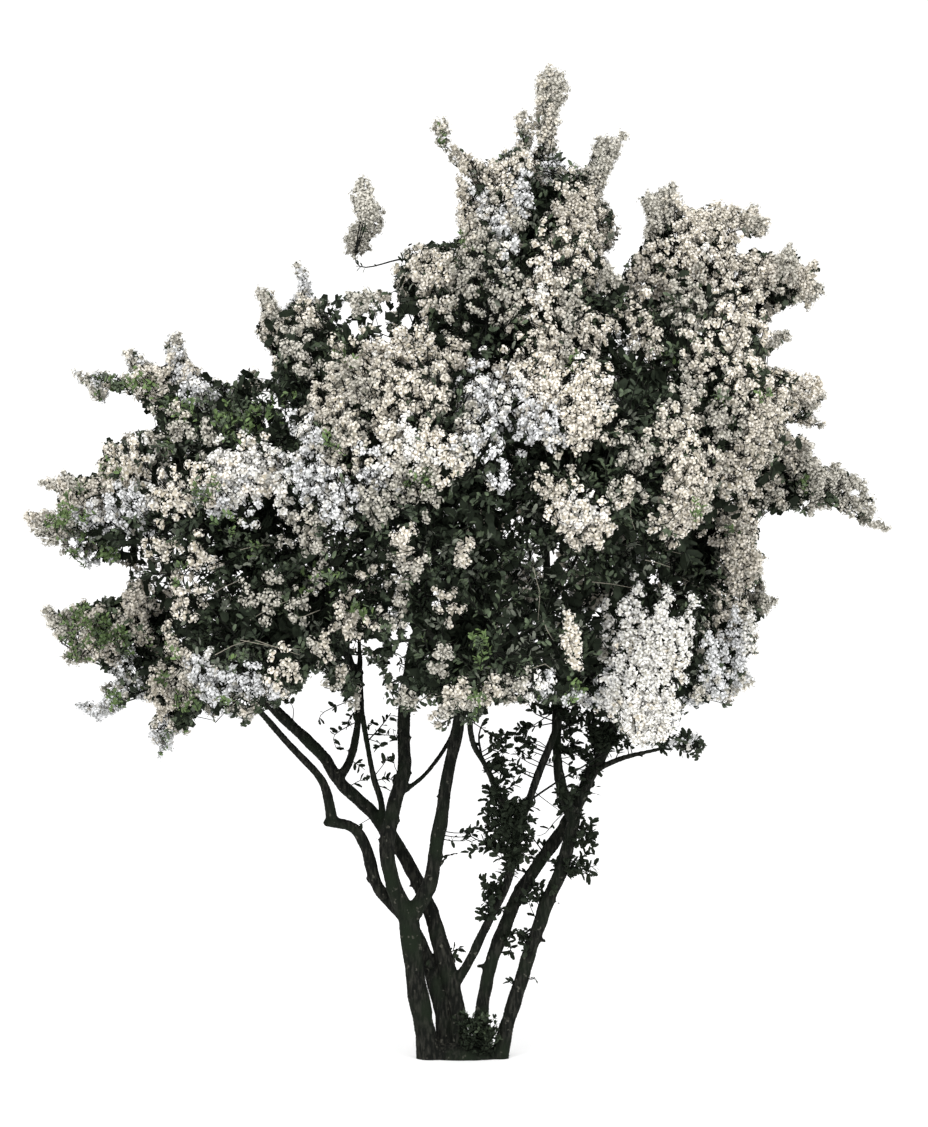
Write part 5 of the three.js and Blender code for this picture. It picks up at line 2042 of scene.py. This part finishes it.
    def grow_stem(self, own: Mass, small: bool) -> None:
        """A mass's stem, from the nearest point of the limbs to its heart.

        Args:
            own: The mass.
            small: Whether it is a small one, with a thin stem.
        """
        spacing = 0.02
        limbs = np.vstack([one.line(spacing)[0] for one in LIMBS])
        root = limbs[int(np.linalg.norm(limbs - own.heart, axis=1).argmin())]
        sag = root + (own.heart - root) * 0.5 - UP * 0.03 * np.linalg.norm(own.heart - root)
        line = bezier((root, sag, sag, own.heart), 6)
        self.harvest.twig("bark", line, self.small_stem_radii if small else self.stem_radii, 6)

    def grow_arms(self, own: Mass, small: bool) -> None:
        """A mass's arms by the source's rule, and the dark shoots on those of a large one, whose darkest
        green is partly painted shade.

        Args:
            own: The mass.
            small: Whether it is a small one.
        """
        arms = []
        directions = even_directions(own.arms, Seeded(own.name))
        for direction, reach in zip(directions, room_along(own, directions)):
            length = self.arm_share * reach
            t = np.linspace(0, 1, 6)[:, None]
            arch = (-self.arm_arch * UP * length) * np.sin(math.pi * t)
            arch = arch + self.arm_stray * length * self.grower.scatter() * t
            arm = own.heart + direction * length * t + arch
            arms.append(arm)
            self.harvest.twig("dark", arm, self.small_arm_radii if small else self.arm_radii, 4)
            for _ in range(0 if small else self.inner_shoots):
                start = arm[int(self.chance.integers(1, 5))]
                run = unit(self.grower.scatter() + 0.3 * UP)
                inner = np.array([start, start + run * self.chance.uniform(*self.inner_length)])
                self.harvest.twig("dark", inner, self.inner_radii)
                leaf = self.grower.inner_leaf_length
                self.grower.leaves(inner, self.inner_leaves, Green.SHADE, leaf, 0.1)
        self.arms[own.name] = arms

    def grow_shoots(self, own: Mass, small: bool) -> None:
        """A mass's shoots, evenly over its surface, some of them with a panicle.

        Args:
            own: The mass.
            small: Whether it is a small one, with bare short shoots.
        """
        power = 1.6  # of the usual formula for the surface of an ellipsoid
        a, b, c = own.half**power
        surface = 4 * math.pi * ((a * b + a * c + b * c) / 3) ** (1 / power)
        count = int(np.clip(surface / self.area_per_shoot, *self.shoots))
        directions = even_directions(count, Seeded(own.name + " shoots"))
        limits, reaches = own.reach(directions), room_along(own, directions)
        for direction, limit, reach in zip(directions, limits, reaches):
            outer = reach > self.outer_share * limit
            reach *= self.chance.uniform(0.86, 1.04) if outer else 0.9
            tip = self.drawn_in(own, own.heart + direction * reach)
            if small:
                self.grow_shoot(own, tip, True, leaves=6, twiglets=1)
                continue
            panicle, tone = 0.0, None
            if outer and self.blossoms_at(own, tip, direction):
                panicle = self.chance.uniform(*self.panicle_sizes)
                panicle *= 1.0 if tip[1] < BACK_DEPTH else self.back_panicle
                tone = self.tone_at(tip)
            self.grow_shoot(own, tip, outer, panicle, tone)

    def grow_spur(self, own: Mass, spur: Spur) -> None:
        """A long spray that reaches out of its mass: a bent twig with panicles down its length.

        Args:
            own: The mass.
            spur: The spray.
        """
        tip = metres(*spur.tip)
        run = tip - own.heart
        size = float(np.clip(spur.girth / self.usual_spur_girth, 0.55, 1.2))
        bend = own.heart + run * 0.5 - UP * self.spur_sag * np.linalg.norm(run)
        if spur.bend:
            bend = metres(*spur.bend)
        last = unit(unit(tip - (bend if spur.bend else own.heart)) + 0.25 * UP)
        end = tip - last * 0.05 * size
        t = np.linspace(0, 1, 9)[:, None]
        line = own.heart * (1 - t) ** 2 + 2 * bend * t * (1 - t) + end * t**2
        self.harvest.freedom = Freedom.AT_EDGE
        self.harvest.twig("dark", line, self.spur_radii, 5)
        tone = self.tone_at(tip)
        self.grower.panicle(tip, last, self.spur_panicle * size, tone, FRONT)
        total = float(np.linalg.norm(np.diff(line, axis=0), axis=1).sum())
        girth = spur.girth * MILLIMETRE
        for back in np.arange(0.025, spur.length * MILLIMETRE, self.spur_spacing):
            start, tangent = along(line, max(0.0, 1 - back / total) * (len(line) - 1))
            across = unit(np.cross(tangent, self.grower.scatter()))
            for out in (across, -across):
                out = unit(0.6 * tangent + out + 0.25 * UP)
                side = np.array([start, start + out * girth * self.chance.uniform(0.35, 0.7)])
                self.harvest.twig("dark", side, self.twiglet_radii)
                if self.chance.random() < self.spur_blooms[0 if own.blossom > LEAFY else 1]:
                    axis = unit(out + 0.9 * UP)
                    side_size = self.spur_side_panicle * size
                    self.grower.panicle(side[-1] + 0.012 * out, axis, side_size, tone, out)
                self.grower.leaves(side, 3, self.green_at(start, 0.9), self.grower.leaf_length)
        self.grower.leaves(line[5:], 8, self.green_at(tip, 0.9), self.grower.leaf_length, 0.0)
        self.harvest.freedom = Freedom.WITHIN

    def grow_groups(self) -> None:
        """The panicles that stand together where the photograph shows them."""
        for group in GROUPS:
            count = max(1, round(self.group_share * group.count))
            room = float(np.clip(min(group.wide, 1.3 * group.high) / 20, 0.55, 1.0))
            for k in range(count):
                turn = GOLDEN_TURN * k + self.chance.uniform(0, 0.8)
                away = math.sqrt((k + 0.5) / count)
                own, point = self.front_of(group.px + group.wide * away * math.cos(turn),
                                           group.py + group.high * away * math.sin(turn))
                inward = unit(point - PICTURE.eye)
                tip = point + inward * self.chance.uniform(*self.group_depths) + UP * 0.05 * room
                tip = self.drawn_in(own, tip)
                tone = BESIDE[group.tone] if self.chance.random() < self.other_tone_share else group.tone
                size = room * self.chance.uniform(*self.group_sizes)
                self.grow_shoot(own, tip, True, size, tone, leaves=self.group_leaves, twiglets=1)

    def grow_edges(self) -> None:
        """The panicles and leafy tips round the crown's edge."""
        rim = tuple(own for own in CROWN_MASSES
                    if abs(own.heart[1]) < 0.2 and own.mean_size > self.small_mass)
        for place, out in EDGE.walk(self.edge_spacing):
            own, gap = self.mass_behind(*place, rim)
            if gap > self.edge_reach:
                continue
            depth = own.heart[1] + self.chance.uniform(*self.edge_depths)
            tip = PICTURE.point(*(place - self.edge_inset * out), depth)
            blooms = self.chance.random() < self.edge_blooms[0 if own.blossom > LEAFY else 1]
            size = self.chance.uniform(*self.edge_sizes)
            if out[1] > 0.2:  # the edge faces down here
                tip = tip + UP * 0.055 * size
                blooms = blooms and self.chance.random() < self.lower_edge_blooms
            self.grow_shoot(own, tip, True, size if blooms else 0.0, self.tone_at(tip),
                            leaves=self.edge_leaves, twiglets=1, lean=self.edge_lean)

    def grow_spires(self) -> None:
        """The panicles that stand out by themselves, each at the pixels that show it."""
        stem = np.zeros(3)
        for spire in SPIRES:
            own, point = self.front_of(*(np.array(spire.tip) + spire.base) / 2)
            depth = max(float(point[1]), self.front_limit + 0.03)
            depth += self.chance.uniform(*self.spire_depths)
            tip = PICTURE.point(*spire.tip, depth - 0.01)
            base = PICTURE.point(*spire.base, depth + 0.02)
            run = tip - base
            length, girth = float(np.linalg.norm(run)), spire.wide * PICTURE.metres_per_pixel
            if spire.freedom < Freedom.ON_LAST_STEM:
                stem = self.arm_near(own, base)[-1]
            rise, steps = (1.0, 9) if spire.freedom == Freedom.CLEAR else (0.3, 5)
            line = bezier((stem, stem * 0.7 + base * 0.3, base - run * rise, base), steps)
            self.harvest.freedom = spire.freedom
            self.harvest.twig("dark", line, self.spire_radii)
            if spire.freedom == Freedom.CLEAR:
                stem = base
            umbel = (1.6 * self.grower.umbel_radius) ** 2
            umbels = self.crowding[spire.freedom] * length * girth / umbel
            taper = 0.5 if spire.freedom else 1.1
            self.grower.spire(base, tip, girth, umbels, spire.tone, np.array([0, -1.0, 0.15]), taper)
            green = self.green_at(base, 0.9)
            self.grower.leaves(line[2:], self.spire_leaves, green, self.grower.leaf_length)
            if spire.freedom:
                spacing = self.core_leaf_spacing[0 if spire.freedom == Freedom.AT_EDGE else 1]
                core = np.array([base, tip - run * 0.12])
                leaf = min(self.core_leaf, self.core_leaf_share * girth)
                self.grower.leaves(core, round(length / spacing), Green.SHADE, leaf, 0.0)
            self.harvest.freedom = Freedom.WITHIN

    def grow_fresh(self) -> None:
        """The sprays of young leaves that stand out from the blossom."""
        for patch in FRESH_PATCHES:
            for _ in range(max(3, round(patch.wide * patch.high / self.pixels_per_spray))):
                place = self.grower.place_in(patch.px, patch.py, patch.wide, patch.high)
                own, point = self.front_of(*place)
                inward = unit(point - PICTURE.eye)
                tip = self.drawn_in(own, point - inward * self.chance.uniform(0.015, 0.05))
                run = unit(0.5 * unit(tip - own.heart) + 0.5 * self.grower.scatter() + 0.6 * UP)
                middle = tip - 0.02 * run + 0.004 * self.grower.scatter()
                line = np.array([tip - 0.045 * run, middle, tip])
                self.harvest.twig("dark", line, self.fresh_radii)
                green = Green.FRESH if self.chance.random() < 0.6 else Green.MID
                self.grower.leaves(line, self.spray_leaves, green, self.fresh_leaf, 0.1)

    def grow_shade(self) -> None:
        """The dark sprays deep in the crown, which close it behind its surface; their darkest green is
        partly painted shade.
        """
        low = np.min(EDGE.corners, axis=0)
        high = np.max(EDGE.corners, axis=0)
        for px in np.arange(low[0], high[0], self.shade_spacing):
            for py in np.arange(low[1], min(high[1], self.shade_floor), self.shade_spacing):
                for layer in self.shade_layers:
                    nudge = self.chance.uniform(-self.shade_nudge, self.shade_nudge, 2)
                    place = np.array([px, py]) + nudge
                    if not EDGE.inside(place[None])[0]:
                        continue
                    _, point = self.front_of(*place)
                    deep = point + unit(point - PICTURE.eye) * self.chance.uniform(*layer)
                    if min(own.far_out(deep) for own in CROWN_MASSES) > self.shade_reach:
                        continue
                    run = unit(self.grower.scatter() * [1, 0.3, 1])
                    half = self.shade_length * run
                    line = np.array([deep - half, deep, deep + half])
                    self.harvest.twig("dark", line, self.shade_radii)
                    leaf = self.grower.inner_leaf_length
                    self.grower.leaves(line, self.spray_leaves, Green.SHADE, leaf, 0.0)

    def leaf_pieces(self) -> list[bpy.types.Object]:
        """The leaves' meshes, each green and side of the crown apart."""
        shape = LeafShape().build()
        made = []
        for green, parts in self.harvest.leaves.items():
            if not parts:
                continue
            material = self.shop.dappled(green.value)
            for side, rows in by_side(np.vstack(parts)):
                if len(rows):
                    x = unit(rows[:, 3:6])
                    y = unit(np.cross(rows[:, 6:9], x))
                    size = rows[:, 9:10]
                    axes = np.stack([x * size, y * size, np.cross(x, y) * size], 1)
                    joined = Joined()
                    joined.repeat(shape, rows[:, :3], axes)
                    made.append(joined.object(f"leaves_{green.name.lower()}_{side}", material))
        return made

    def blossom_pieces(self) -> list[bpy.types.Object]:
        """The flowers' meshes, each tone apart, and the knots of buds that they open from."""
        flower = FlowerShape().build()
        knot = UmbelShape().build()
        chance = np.random.default_rng(self.flower_seed)
        made = []
        for tone, parts in self.harvest.umbels.items():
            if not parts:
                continue
            flowers, knots = (self.shop.dappled(one) for one in (tone.value, UMBEL_FINISH[tone]))
            for side_name, rows in by_side(np.vstack(parts)):
                pattern = UMBEL_PATTERNS[side_name]
                at, out, radius = rows[:, :3], rows[:, 3:6], rows[:, 6:7]
                side = unit(np.cross(out, unit(chance.uniform(-1, 1, out.shape))))
                axes = np.stack([side, np.cross(out, side), out], 1)
                most = self.flower_nudge
                nudge = chance.uniform(-most, most, (len(at), pattern.count, 3))
                facing = unit(np.einsum("pk,nkd->npd", pattern.directions(), axes) + nudge)
                lift = chance.uniform(*self.flower_reach, (len(at), pattern.count, 1))
                places = (at[:, None] + facing * radius[:, None] * lift).reshape(-1, 3)
                girth = np.clip(radius / self.grower.umbel_radius, *self.flower_growth)
                girth = np.repeat(girth, pattern.count, axis=0)
                facing = facing.reshape(-1, 3)
                x = unit(np.cross(facing, unit(chance.uniform(-1, 1, facing.shape))))
                y = np.cross(facing, x)
                size = self.flower * pattern.widening * girth
                size = size * chance.uniform(*self.flower_sizes, (len(facing), 1))
                joined = Joined()
                joined.repeat(flower, places, np.stack([x * size, y * size, facing * size], 1))
                made.append(joined.object(f"blossom_{tone.name.lower()}_{side_name}", flowers))
                hearts = Joined()
                hearts.repeat(knot, at, axes * radius[:, None] * self.knot)
                made.append(hearts.object(f"umbels_{tone.name.lower()}_{side_name}", knots))
        return made

    def twig_pieces(self) -> list[bpy.types.Object]:
        """The twigs' meshes, each kind of bark apart."""
        kinds: dict[str, Joined] = {}
        for (kind, _, sides), rows in self.harvest.twigs.items():
            if rows:
                lines = np.array(rows)
                kinds.setdefault(kind, Joined()).tubes(lines[..., :3], lines[..., 3], sides)
        finish = {"dark": self.shop.dappled(TWIG_DARK), "pale": self.shop.dappled(TWIG_PALE),
                  "bark": self.shop.bark()}
        return [joined.object(f"twigs_{kind}", finish[kind], True) for kind, joined in kinds.items()]

    def build(self) -> list[bpy.types.Object]:
        """Grows every mass, then makes the joined meshes."""
        for own in MASSES:
            self.grow_mass(own)
        for own in MASSES:
            for spur in own.spurs:
                self.grow_spur(own, spur)
        self.grow_edges()
        self.grow_groups()
        self.grow_spires()
        self.grow_fresh()
        self.grow_shade()
        UnderCrown(self).grow()
        self.harvest.trim()
        names = [own.name for own in MASSES]
        flowering = [own.name for own in MASSES if own.blossom > LEAFY]
        made = []
        for pieces, slot, nodes in (
            (self.leaf_pieces(), "foliage", names),
            (self.blossom_pieces(), "blossom", flowering),
            (self.twig_pieces(), "bark", names),
        ):
            for piece in pieces:
                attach(piece, "root")
                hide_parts(*nodes)
            made += pieces
        return made


# ---------------------------------------------------------------------------------------------
# The bare and leafy twigs under the crown and on the stems


@dataclass
class UnderCrown:
    """The thin twigs between the boughs, the shoots on the stems, and the tuft on the foot."""

    crown: Crown
    twig_taper: float = 0.55
    twig_leaf: float = 0.023
    twig_leaf_share: float = 1.6  # leaves for each that its row counts
    sprig_leaf: float = 0.024
    sprig_leaf_share: float = 1.7
    clump_leaf: float = 0.022
    clump_leaves: int = 8
    clump_reach: float = 0.085
    stem_shoot_leaves: int = 14
    sprig_radii: Radii = (0.0018, 0.0009)
    clump_radii: Radii = (0.0017, 0.0008)
    hidden_stick_radii: Radii = (0.0016, 0.0012)
    stick_radii: Radii = (0.0010, 0.0005)
    tuft_sprigs: int = 90
    tuft_px: tuple[float, float] = (462.0, 492.0)
    tuft_py: tuple[float, float] = (1019.0, 1056.0)
    tuft_leaves: int = 14
    tuft_leaf: float = 0.014
    tuft_lowest: float = 0.004
    tuft_radii: Radii = (0.0012, 0.0006)
    twigs: tuple[tuple, ...] = (
        # radius, leaves, then the pixels that the twig runs through from its carrier
        (0.0042, 6, (376, 662), (362, 654), (350, 650), (341, 643)),
        (0.0036, 5, (374, 662), (362, 675), (352, 690)),
        (0.0018, 4, (389, 665), (396, 662), (404, 668)),
        (0.0018, 9, (357, 668), (354, 674), (358, 682)),
        (0.0022, 6, (371, 741), (380, 728), (391, 713)),
        (0.0016, 5, (380, 733), (388, 735), (397, 736)),
        (0.0014, 2, (388, 717), (394, 721), (400, 723)),
        (0.0016, 4, (380, 727), (374, 722), (369, 724)),
        (0.0014, 5, (378, 738), (381, 743), (379, 748)),
        (0.0014, 3, (356, 760), (360, 766), (365, 770)),
        (0.0014, 3, (352, 782), (360, 780), (368, 781)),
        (0.0016, 9, (376, 780), (386, 778), (397, 781)),
        (0.0016, 4, (380, 782), (388, 789), (397, 796)),
        (0.0013, 2, (396, 747), (395, 738), (393, 730)),
        (0.0013, 3, (397, 776), (394, 766), (394, 758)),
        (0.0013, 3, (385, 773), (384, 764), (388, 756)),
        (0.0034, 3, (484, 762), (480, 748), (478, 735), (483, 722)),
        (0.0016, 12, (480, 720), (492, 735), (500, 742)),
        (0.0014, 7, (484, 757), (492, 752), (497, 744)),
        (0.0030, 8, (528, 800), (556, 782), (586, 765), (606, 752)),
        (0.0014, 3, (541, 765), (547, 764), (553, 762)),
        (0.0013, 1, (540, 793), (549, 803), (560, 811)),
        (0.0014, 2, (560, 814), (552, 824), (546, 834), (537, 836)),
        (0.0012, 1, (546, 834), (549, 838), (553, 840)),
        (0.0014, 2, (529, 776), (524, 773), (518, 773)),
        (0.0014, 2, (543, 745), (539, 741), (535, 742)),
        (0.0020, 4, (541, 724), (534, 714), (528, 702)),
        (0.0018, 14, (540, 722), (528, 728), (518, 726), (514, 738)),
        (0.0016, 12, (534, 712), (526, 730), (524, 745)),
        (0.0018, 5, (562, 738), (576, 732), (588, 723)),
        (0.0018, 5, (563, 751), (576, 753), (588, 764)),
        (0.0014, 7, (570, 757), (574, 768), (580, 781)),
        (0.0014, 8, (580, 735), (577, 746), (584, 754)),
        (0.0015, 9, (596, 752), (592, 742), (600, 734)),
        (0.0015, 7, (592, 735), (588, 726), (594, 716)),
        (0.0014, 6, (568, 722), (576, 716), (586, 714)),
        (0.0012, 5, (564, 780), (570, 788), (567, 795)),
        (0.0016, 7, (358, 706), (350, 716), (346, 730)),
        (0.0014, 5, (330, 700), (322, 712), (318, 722)),
        (0.0014, 6, (340, 720), (332, 735), (336, 748)),
        (0.0016, 5, (420, 700), (412, 690), (404, 684)),
        (0.0012, 2, (367, 820), (362, 823), (357, 826)),
        (0.0020, 6, (540, 850), (533, 838), (526, 830)),
        (0.0016, 5, (440, 718), (448, 708), (456, 700)),
        (0.0015, 6, (612, 757), (620, 748), (628, 744)),
        (0.0015, 5, (655, 744), (664, 738), (676, 738), (688, 744)),
        (0.0013, 4, (300, 718), (294, 708), (288, 700)),
        # in the thin place at the crown's upper left
        (0.0016, 9, (404, 338), (396, 326), (388, 316), (392, 304)),
        (0.0016, 8, (398, 300), (396, 284), (400, 268), (404, 258)),
        (0.0016, 8, (372, 346), (368, 334), (374, 322), (372, 310)),
        (0.0015, 8, (352, 340), (344, 328), (334, 322), (328, 312)),
        (0.0014, 6, (360, 338), (362, 326), (354, 314)),
    )
    sprigs: tuple[tuple[float, float, float, float, int], ...] = (
        # the leafy shoots on the stems: root px and py, tip px and py, leaves
        (569, 871, 597, 865, 9), (583, 868, 592, 877, 5), (572, 866, 586, 853, 6),
        (497, 893, 481, 879, 9), (500, 885, 484, 890, 7), (494, 906, 480, 912, 6),
        (495, 908, 482, 900, 5), (500, 905, 504, 913, 4), (512, 930, 523, 937, 6),
        (515, 938, 508, 956, 8), (520, 948, 527, 931, 5), (535, 920, 526, 893, 7),
        (530, 905, 542, 898, 5), (526, 898, 534, 885, 4), (505, 862, 496, 853, 6),
        (480, 846, 466, 830, 7), (485, 842, 469, 853, 7), (490, 838, 476, 826, 8),
        (512, 843, 528, 857, 6), (530, 980, 535, 977, 2), (514, 984, 509, 981, 2),
        (449, 951, 460, 948, 4), (448, 953, 457, 957, 3), (430, 970, 424, 962, 3),
        (540, 852, 547, 843, 5), (575, 790, 585, 780, 4), (562, 845, 572, 838, 4),
        (540, 905, 546, 890, 5), (522, 870, 510, 866, 6), (545, 880, 556, 893, 5),
        (506, 820, 492, 812, 8), (505, 812, 520, 802, 8), (509, 806, 498, 794, 8),
        (512, 826, 530, 822, 9), (515, 834, 533, 842, 9), (500, 800, 488, 788, 8),
        (497, 786, 508, 776, 8), (493, 776, 484, 766, 7), (503, 790, 518, 782, 8),
        (512, 815, 534, 806, 9), (500, 830, 484, 822, 9), (497, 836, 488, 846, 7),
        (486, 764, 500, 762, 7), (508, 842, 506, 852, 6), (518, 838, 524, 850, 6),
    )
    clumps: tuple[tuple[float, float, float, float, int], ...] = (
        # crowded short shoots: middle and half sizes in pixels, then how many
        (512, 735, 14, 22, 12), (505, 775, 18, 20, 14), (500, 808, 20, 22, 26), (520, 822, 22, 20, 22),
        (500, 836, 24, 16, 18), (478, 836, 12, 12, 8), (520, 850, 16, 12, 10), (508, 870, 18, 10, 7),
        (494, 885, 12, 12, 8), (488, 908, 10, 10, 6), (530, 885, 14, 18, 8), (516, 942, 12, 16, 8),
        (560, 860, 22, 10, 9), (580, 868, 16, 8, 8), (583, 790, 10, 22, 8), (565, 800, 10, 16, 6),
        (590, 735, 18, 12, 20), (606, 742, 14, 12, 18), (598, 722, 18, 8, 16), (572, 716, 14, 8, 14),
        (618, 735, 14, 8, 10), (575, 752, 12, 14, 8), (600, 762, 14, 10, 10), (560, 705, 18, 5, 10),
        (690, 742, 10, 10, 8), (672, 744, 12, 6, 6),
    )
    sticks: tuple[tuple[tuple[float, float], ...], ...] = (
        # the pale bare twigs that cross the crown's dark hollows, through these pixels
        ((592, 582), (612, 584), (633, 588)), ((645, 560), (658, 563), (670, 567)),
        ((665, 550), (682, 554), (700, 560)), ((680, 577), (692, 583), (703, 590)),
        ((713, 558), (721, 564), (727, 573)), ((630, 507), (631, 518), (635, 530)),
        ((533, 567), (540, 593), (538, 620)), ((543, 620), (547, 630), (553, 640)),
        ((413, 700), (433, 698), (453, 692)), ((533, 668), (545, 664), (556, 672)),
        ((203, 600), (222, 588), (240, 580)), ((250, 620), (270, 608), (290, 600)),
        ((240, 640), (270, 646), (300, 650)), ((215, 655), (232, 646), (250, 640)),
        ((255, 640), (278, 648), (300, 655)), ((240, 550), (255, 546), (270, 545)),
        ((290, 620), (305, 616), (320, 610)),
    )

    def follow(self, pixels: tuple[tuple[float, float], ...]) -> np.ndarray:
        """A twig's line from its carrier through the pixels that it is seen at.

        Args:
            pixels: The px and py of each, the first one on the carrier.

        Returns:
            The line's points.
        """
        start = carrier_at(*pixels[0])
        step = float(self.crown.chance.uniform(-0.02, 0.012))
        depths = float(start[1]) + step * np.arange(1, len(pixels))
        seen = [PICTURE.point(*pixel, depth) for pixel, depth in zip(pixels[1:], depths)]
        given = np.array([start, *seen])
        at = np.linspace(0, len(given) - 1, 7)
        line = np.stack([np.interp(at, np.arange(len(given)), given[:, k]) for k in range(3)], 1)
        line[1:-1] += 0.25 * (line[:-2] + line[2:] - 2 * line[1:-1])
        return line

    def grow(self) -> None:
        """All of them, kept in the crown's harvest."""
        grower, harvest = self.crown.grower, self.crown.harvest
        harvest.freedom = Freedom.CLEAR
        for radius, leaves, *pixels in self.twigs:
            line = self.follow(tuple(pixels))
            harvest.twig("dark", line, (radius, self.twig_taper * radius), 5)
            grower.leaves(line, round(self.twig_leaf_share * leaves), Green.SHADE, self.twig_leaf, 0.25)
        for root_x, root_y, tip_x, tip_y, leaves in self.sprigs:
            middle = ((root_x + tip_x) / 2, (root_y + tip_y) / 2 + 1)
            line = self.follow(((root_x, root_y), middle, (tip_x, tip_y)))
            harvest.twig("dark", line, self.sprig_radii, 4)
            grower.leaves(line, round(self.sprig_leaf_share * leaves), Green.SHADE, self.sprig_leaf, 0.2)
        self.grow_clumps()
        self.grow_tuft()
        self.grow_sticks()
        harvest.freedom = Freedom.WITHIN

    def grow_clumps(self) -> None:
        """The short leafy shoots that crowd the slender stem and the right stems."""
        chance, grower = self.crown.chance, self.crown.grower
        for own in MASSES:
            for arm in self.crown.arms[own.name] if own.on_stems else ():
                grower.leaves(arm, self.stem_shoot_leaves, Green.SHADE, self.sprig_leaf, 0.2)
        for *oval, count in self.clumps:
            for _ in range(count):
                px, py = grower.place_in(*oval)
                root = carrier_at(px, py + 6)
                tip = PICTURE.point(px, py, root[1] + chance.uniform(-0.05, 0.04))
                if np.linalg.norm(tip - root) > self.clump_reach:
                    tip = root + unit(tip - root) * self.clump_reach
                line = bezier((root, root + (tip - root) * 0.4 - UP * 0.008, tip - UP * 0.012, tip), 4)
                self.crown.harvest.twig("dark", line, self.clump_radii)
                grower.leaves(line, self.clump_leaves, Green.SHADE, self.clump_leaf, 0.25)

    def grow_sticks(self) -> None:
        """The pale bare twigs, each from within the crown out through its pixels."""
        for pixels in self.sticks:
            own, point = self.crown.front_of(*pixels[1])
            depth = float(point[1]) + 0.02
            line = np.array([PICTURE.point(px, py, depth) for px, py in pixels])
            root = self.crown.arm_near(own, line[0])[-1]
            self.crown.harvest.twig("dark", np.array([root, line[0]]), self.hidden_stick_radii)
            self.crown.harvest.twig("pale", line, self.stick_radii)

    def grow_tuft(self) -> None:
        """The tuft of short leafy shoots on the front of the root crown."""
        grower, chance = self.crown.grower, self.crown.chance
        for _ in range(self.tuft_sprigs):
            px, py = chance.uniform(*self.tuft_px), chance.uniform(*self.tuft_py)
            x, _, z = PICTURE.point(px, py)
            start = np.array([x, -0.018 - 0.02 * chance.random(), max(z, self.tuft_lowest)])
            run = unit(np.array([chance.uniform(-0.7, 0.7), -0.5, chance.uniform(0.1, 1.0)]))
            line = start + run * np.linspace(-0.02, 0.030, 4)[:, None]
            line[:, 2] = np.maximum(line[:, 2], self.tuft_lowest)
            self.crown.harvest.twig("dark", line, self.tuft_radii)
            green = (Green.MID, Green.DEEP, Green.SHADE)[int(chance.choice(3, p=(0.12, 0.38, 0.5)))]
            at = line[chance.integers(0, 4, self.tuft_leaves)]
            out = unit(grower.scatter(self.tuft_leaves) + run + [0, -0.2, 0.5])
            face = unit(grower.scatter(self.tuft_leaves) + UP)
            grower.harvest.leaf_rows(green, at, out, face, np.full(self.tuft_leaves, self.tuft_leaf))


# ---------------------------------------------------------------------------------------------
# The studio


@dataclass
class Studio:
    """A plain pale floor, soft light and the camera at the photograph's angle."""

    shop: FinishShop
    floor_size: float = 40.0
    daylight: float = 1.20
    lamps: tuple[tuple[str, float, float, tuple[float, float, float]], ...] = (
        # name, power in watts, width, place
        ("key", 300.0, 4.2, (-2.2, -5.0, 4.8)), ("fill", 240.0, 4.4, (4.0, -4.8, 3.2)))
    aim: tuple[float, float, float] = (0.0, 0.0, 1.35)

    def build(self) -> None:
        """Sets them up."""
        bm = bmesh.new()
        bmesh.ops.create_grid(bm, x_segments=1, y_segments=1, size=self.floor_size / 2)
        mesh = bpy.data.meshes.new("floor")
        bm.to_mesh(mesh)
        bm.free()
        mesh.materials.append(self.shop.dappled(FLOOR))
        floor = bpy.data.objects.new("floor", mesh)
        bpy.context.scene.collection.objects.link(floor)
        for lamp in self.lamps:
            self._light(*lamp)
        world = bpy.data.worlds.new("studio")
        world.use_nodes = True
        world.node_tree.nodes["Background"].inputs["Color"].default_value = (1, 1, 1, 1)
        world.node_tree.nodes["Background"].inputs["Strength"].default_value = self.daylight
        bpy.context.scene.world = world
        bpy.context.scene.view_settings.view_transform = "Standard"
        camera = bpy.data.cameras.new("camera")
        camera.lens = PICTURE.lens
        camera.sensor_width = PICTURE.sensor
        camera.clip_end = 100.0
        stand = bpy.data.objects.new("camera", camera)
        stand.location = PICTURE.eye
        stand.rotation_euler = (math.pi / 2, 0, 0)
        bpy.context.scene.collection.objects.link(stand)
        bpy.context.scene.camera = stand

    def _light(self, name: str, power: float, size: float, place: tuple[float, float, float]) -> None:
        """A soft lamp that looks at the crown.

        Args:
            name: Its name.
            power: Its power in watts.
            size: How wide it is.
            place: Where it stands.
        """
        lamp = bpy.data.lights.new(name, "AREA")
        lamp.energy = power
        lamp.size = size
        made = bpy.data.objects.new(name, lamp)
        made.location = place
        made.rotation_euler = (Vector(self.aim) - Vector(place)).to_track_quat("-Z", "Y").to_euler()
        bpy.context.scene.collection.objects.link(made)


def triangles_in(piece: bpy.types.Object) -> int:
    """How many triangles a piece has."""
    return sum(len(face.vertices) - 2 for face in piece.data.polygons)


def main() -> None:
    """Loads the frame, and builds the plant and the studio."""
    logging.basicConfig(level=logging.INFO, format="%(name)s: %(message)s")
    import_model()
    shop = FinishShop()
    Studio(shop).build()
    total = 0
    for builder in (Bark(shop), Crown(shop)):
        for piece in builder.build():
            count = triangles_in(piece)
            total += count
            log.info("%s: %d triangles", piece.name, count)
    log.info("all pieces: %d triangles", total)


if __name__ == "__main__":
    main()
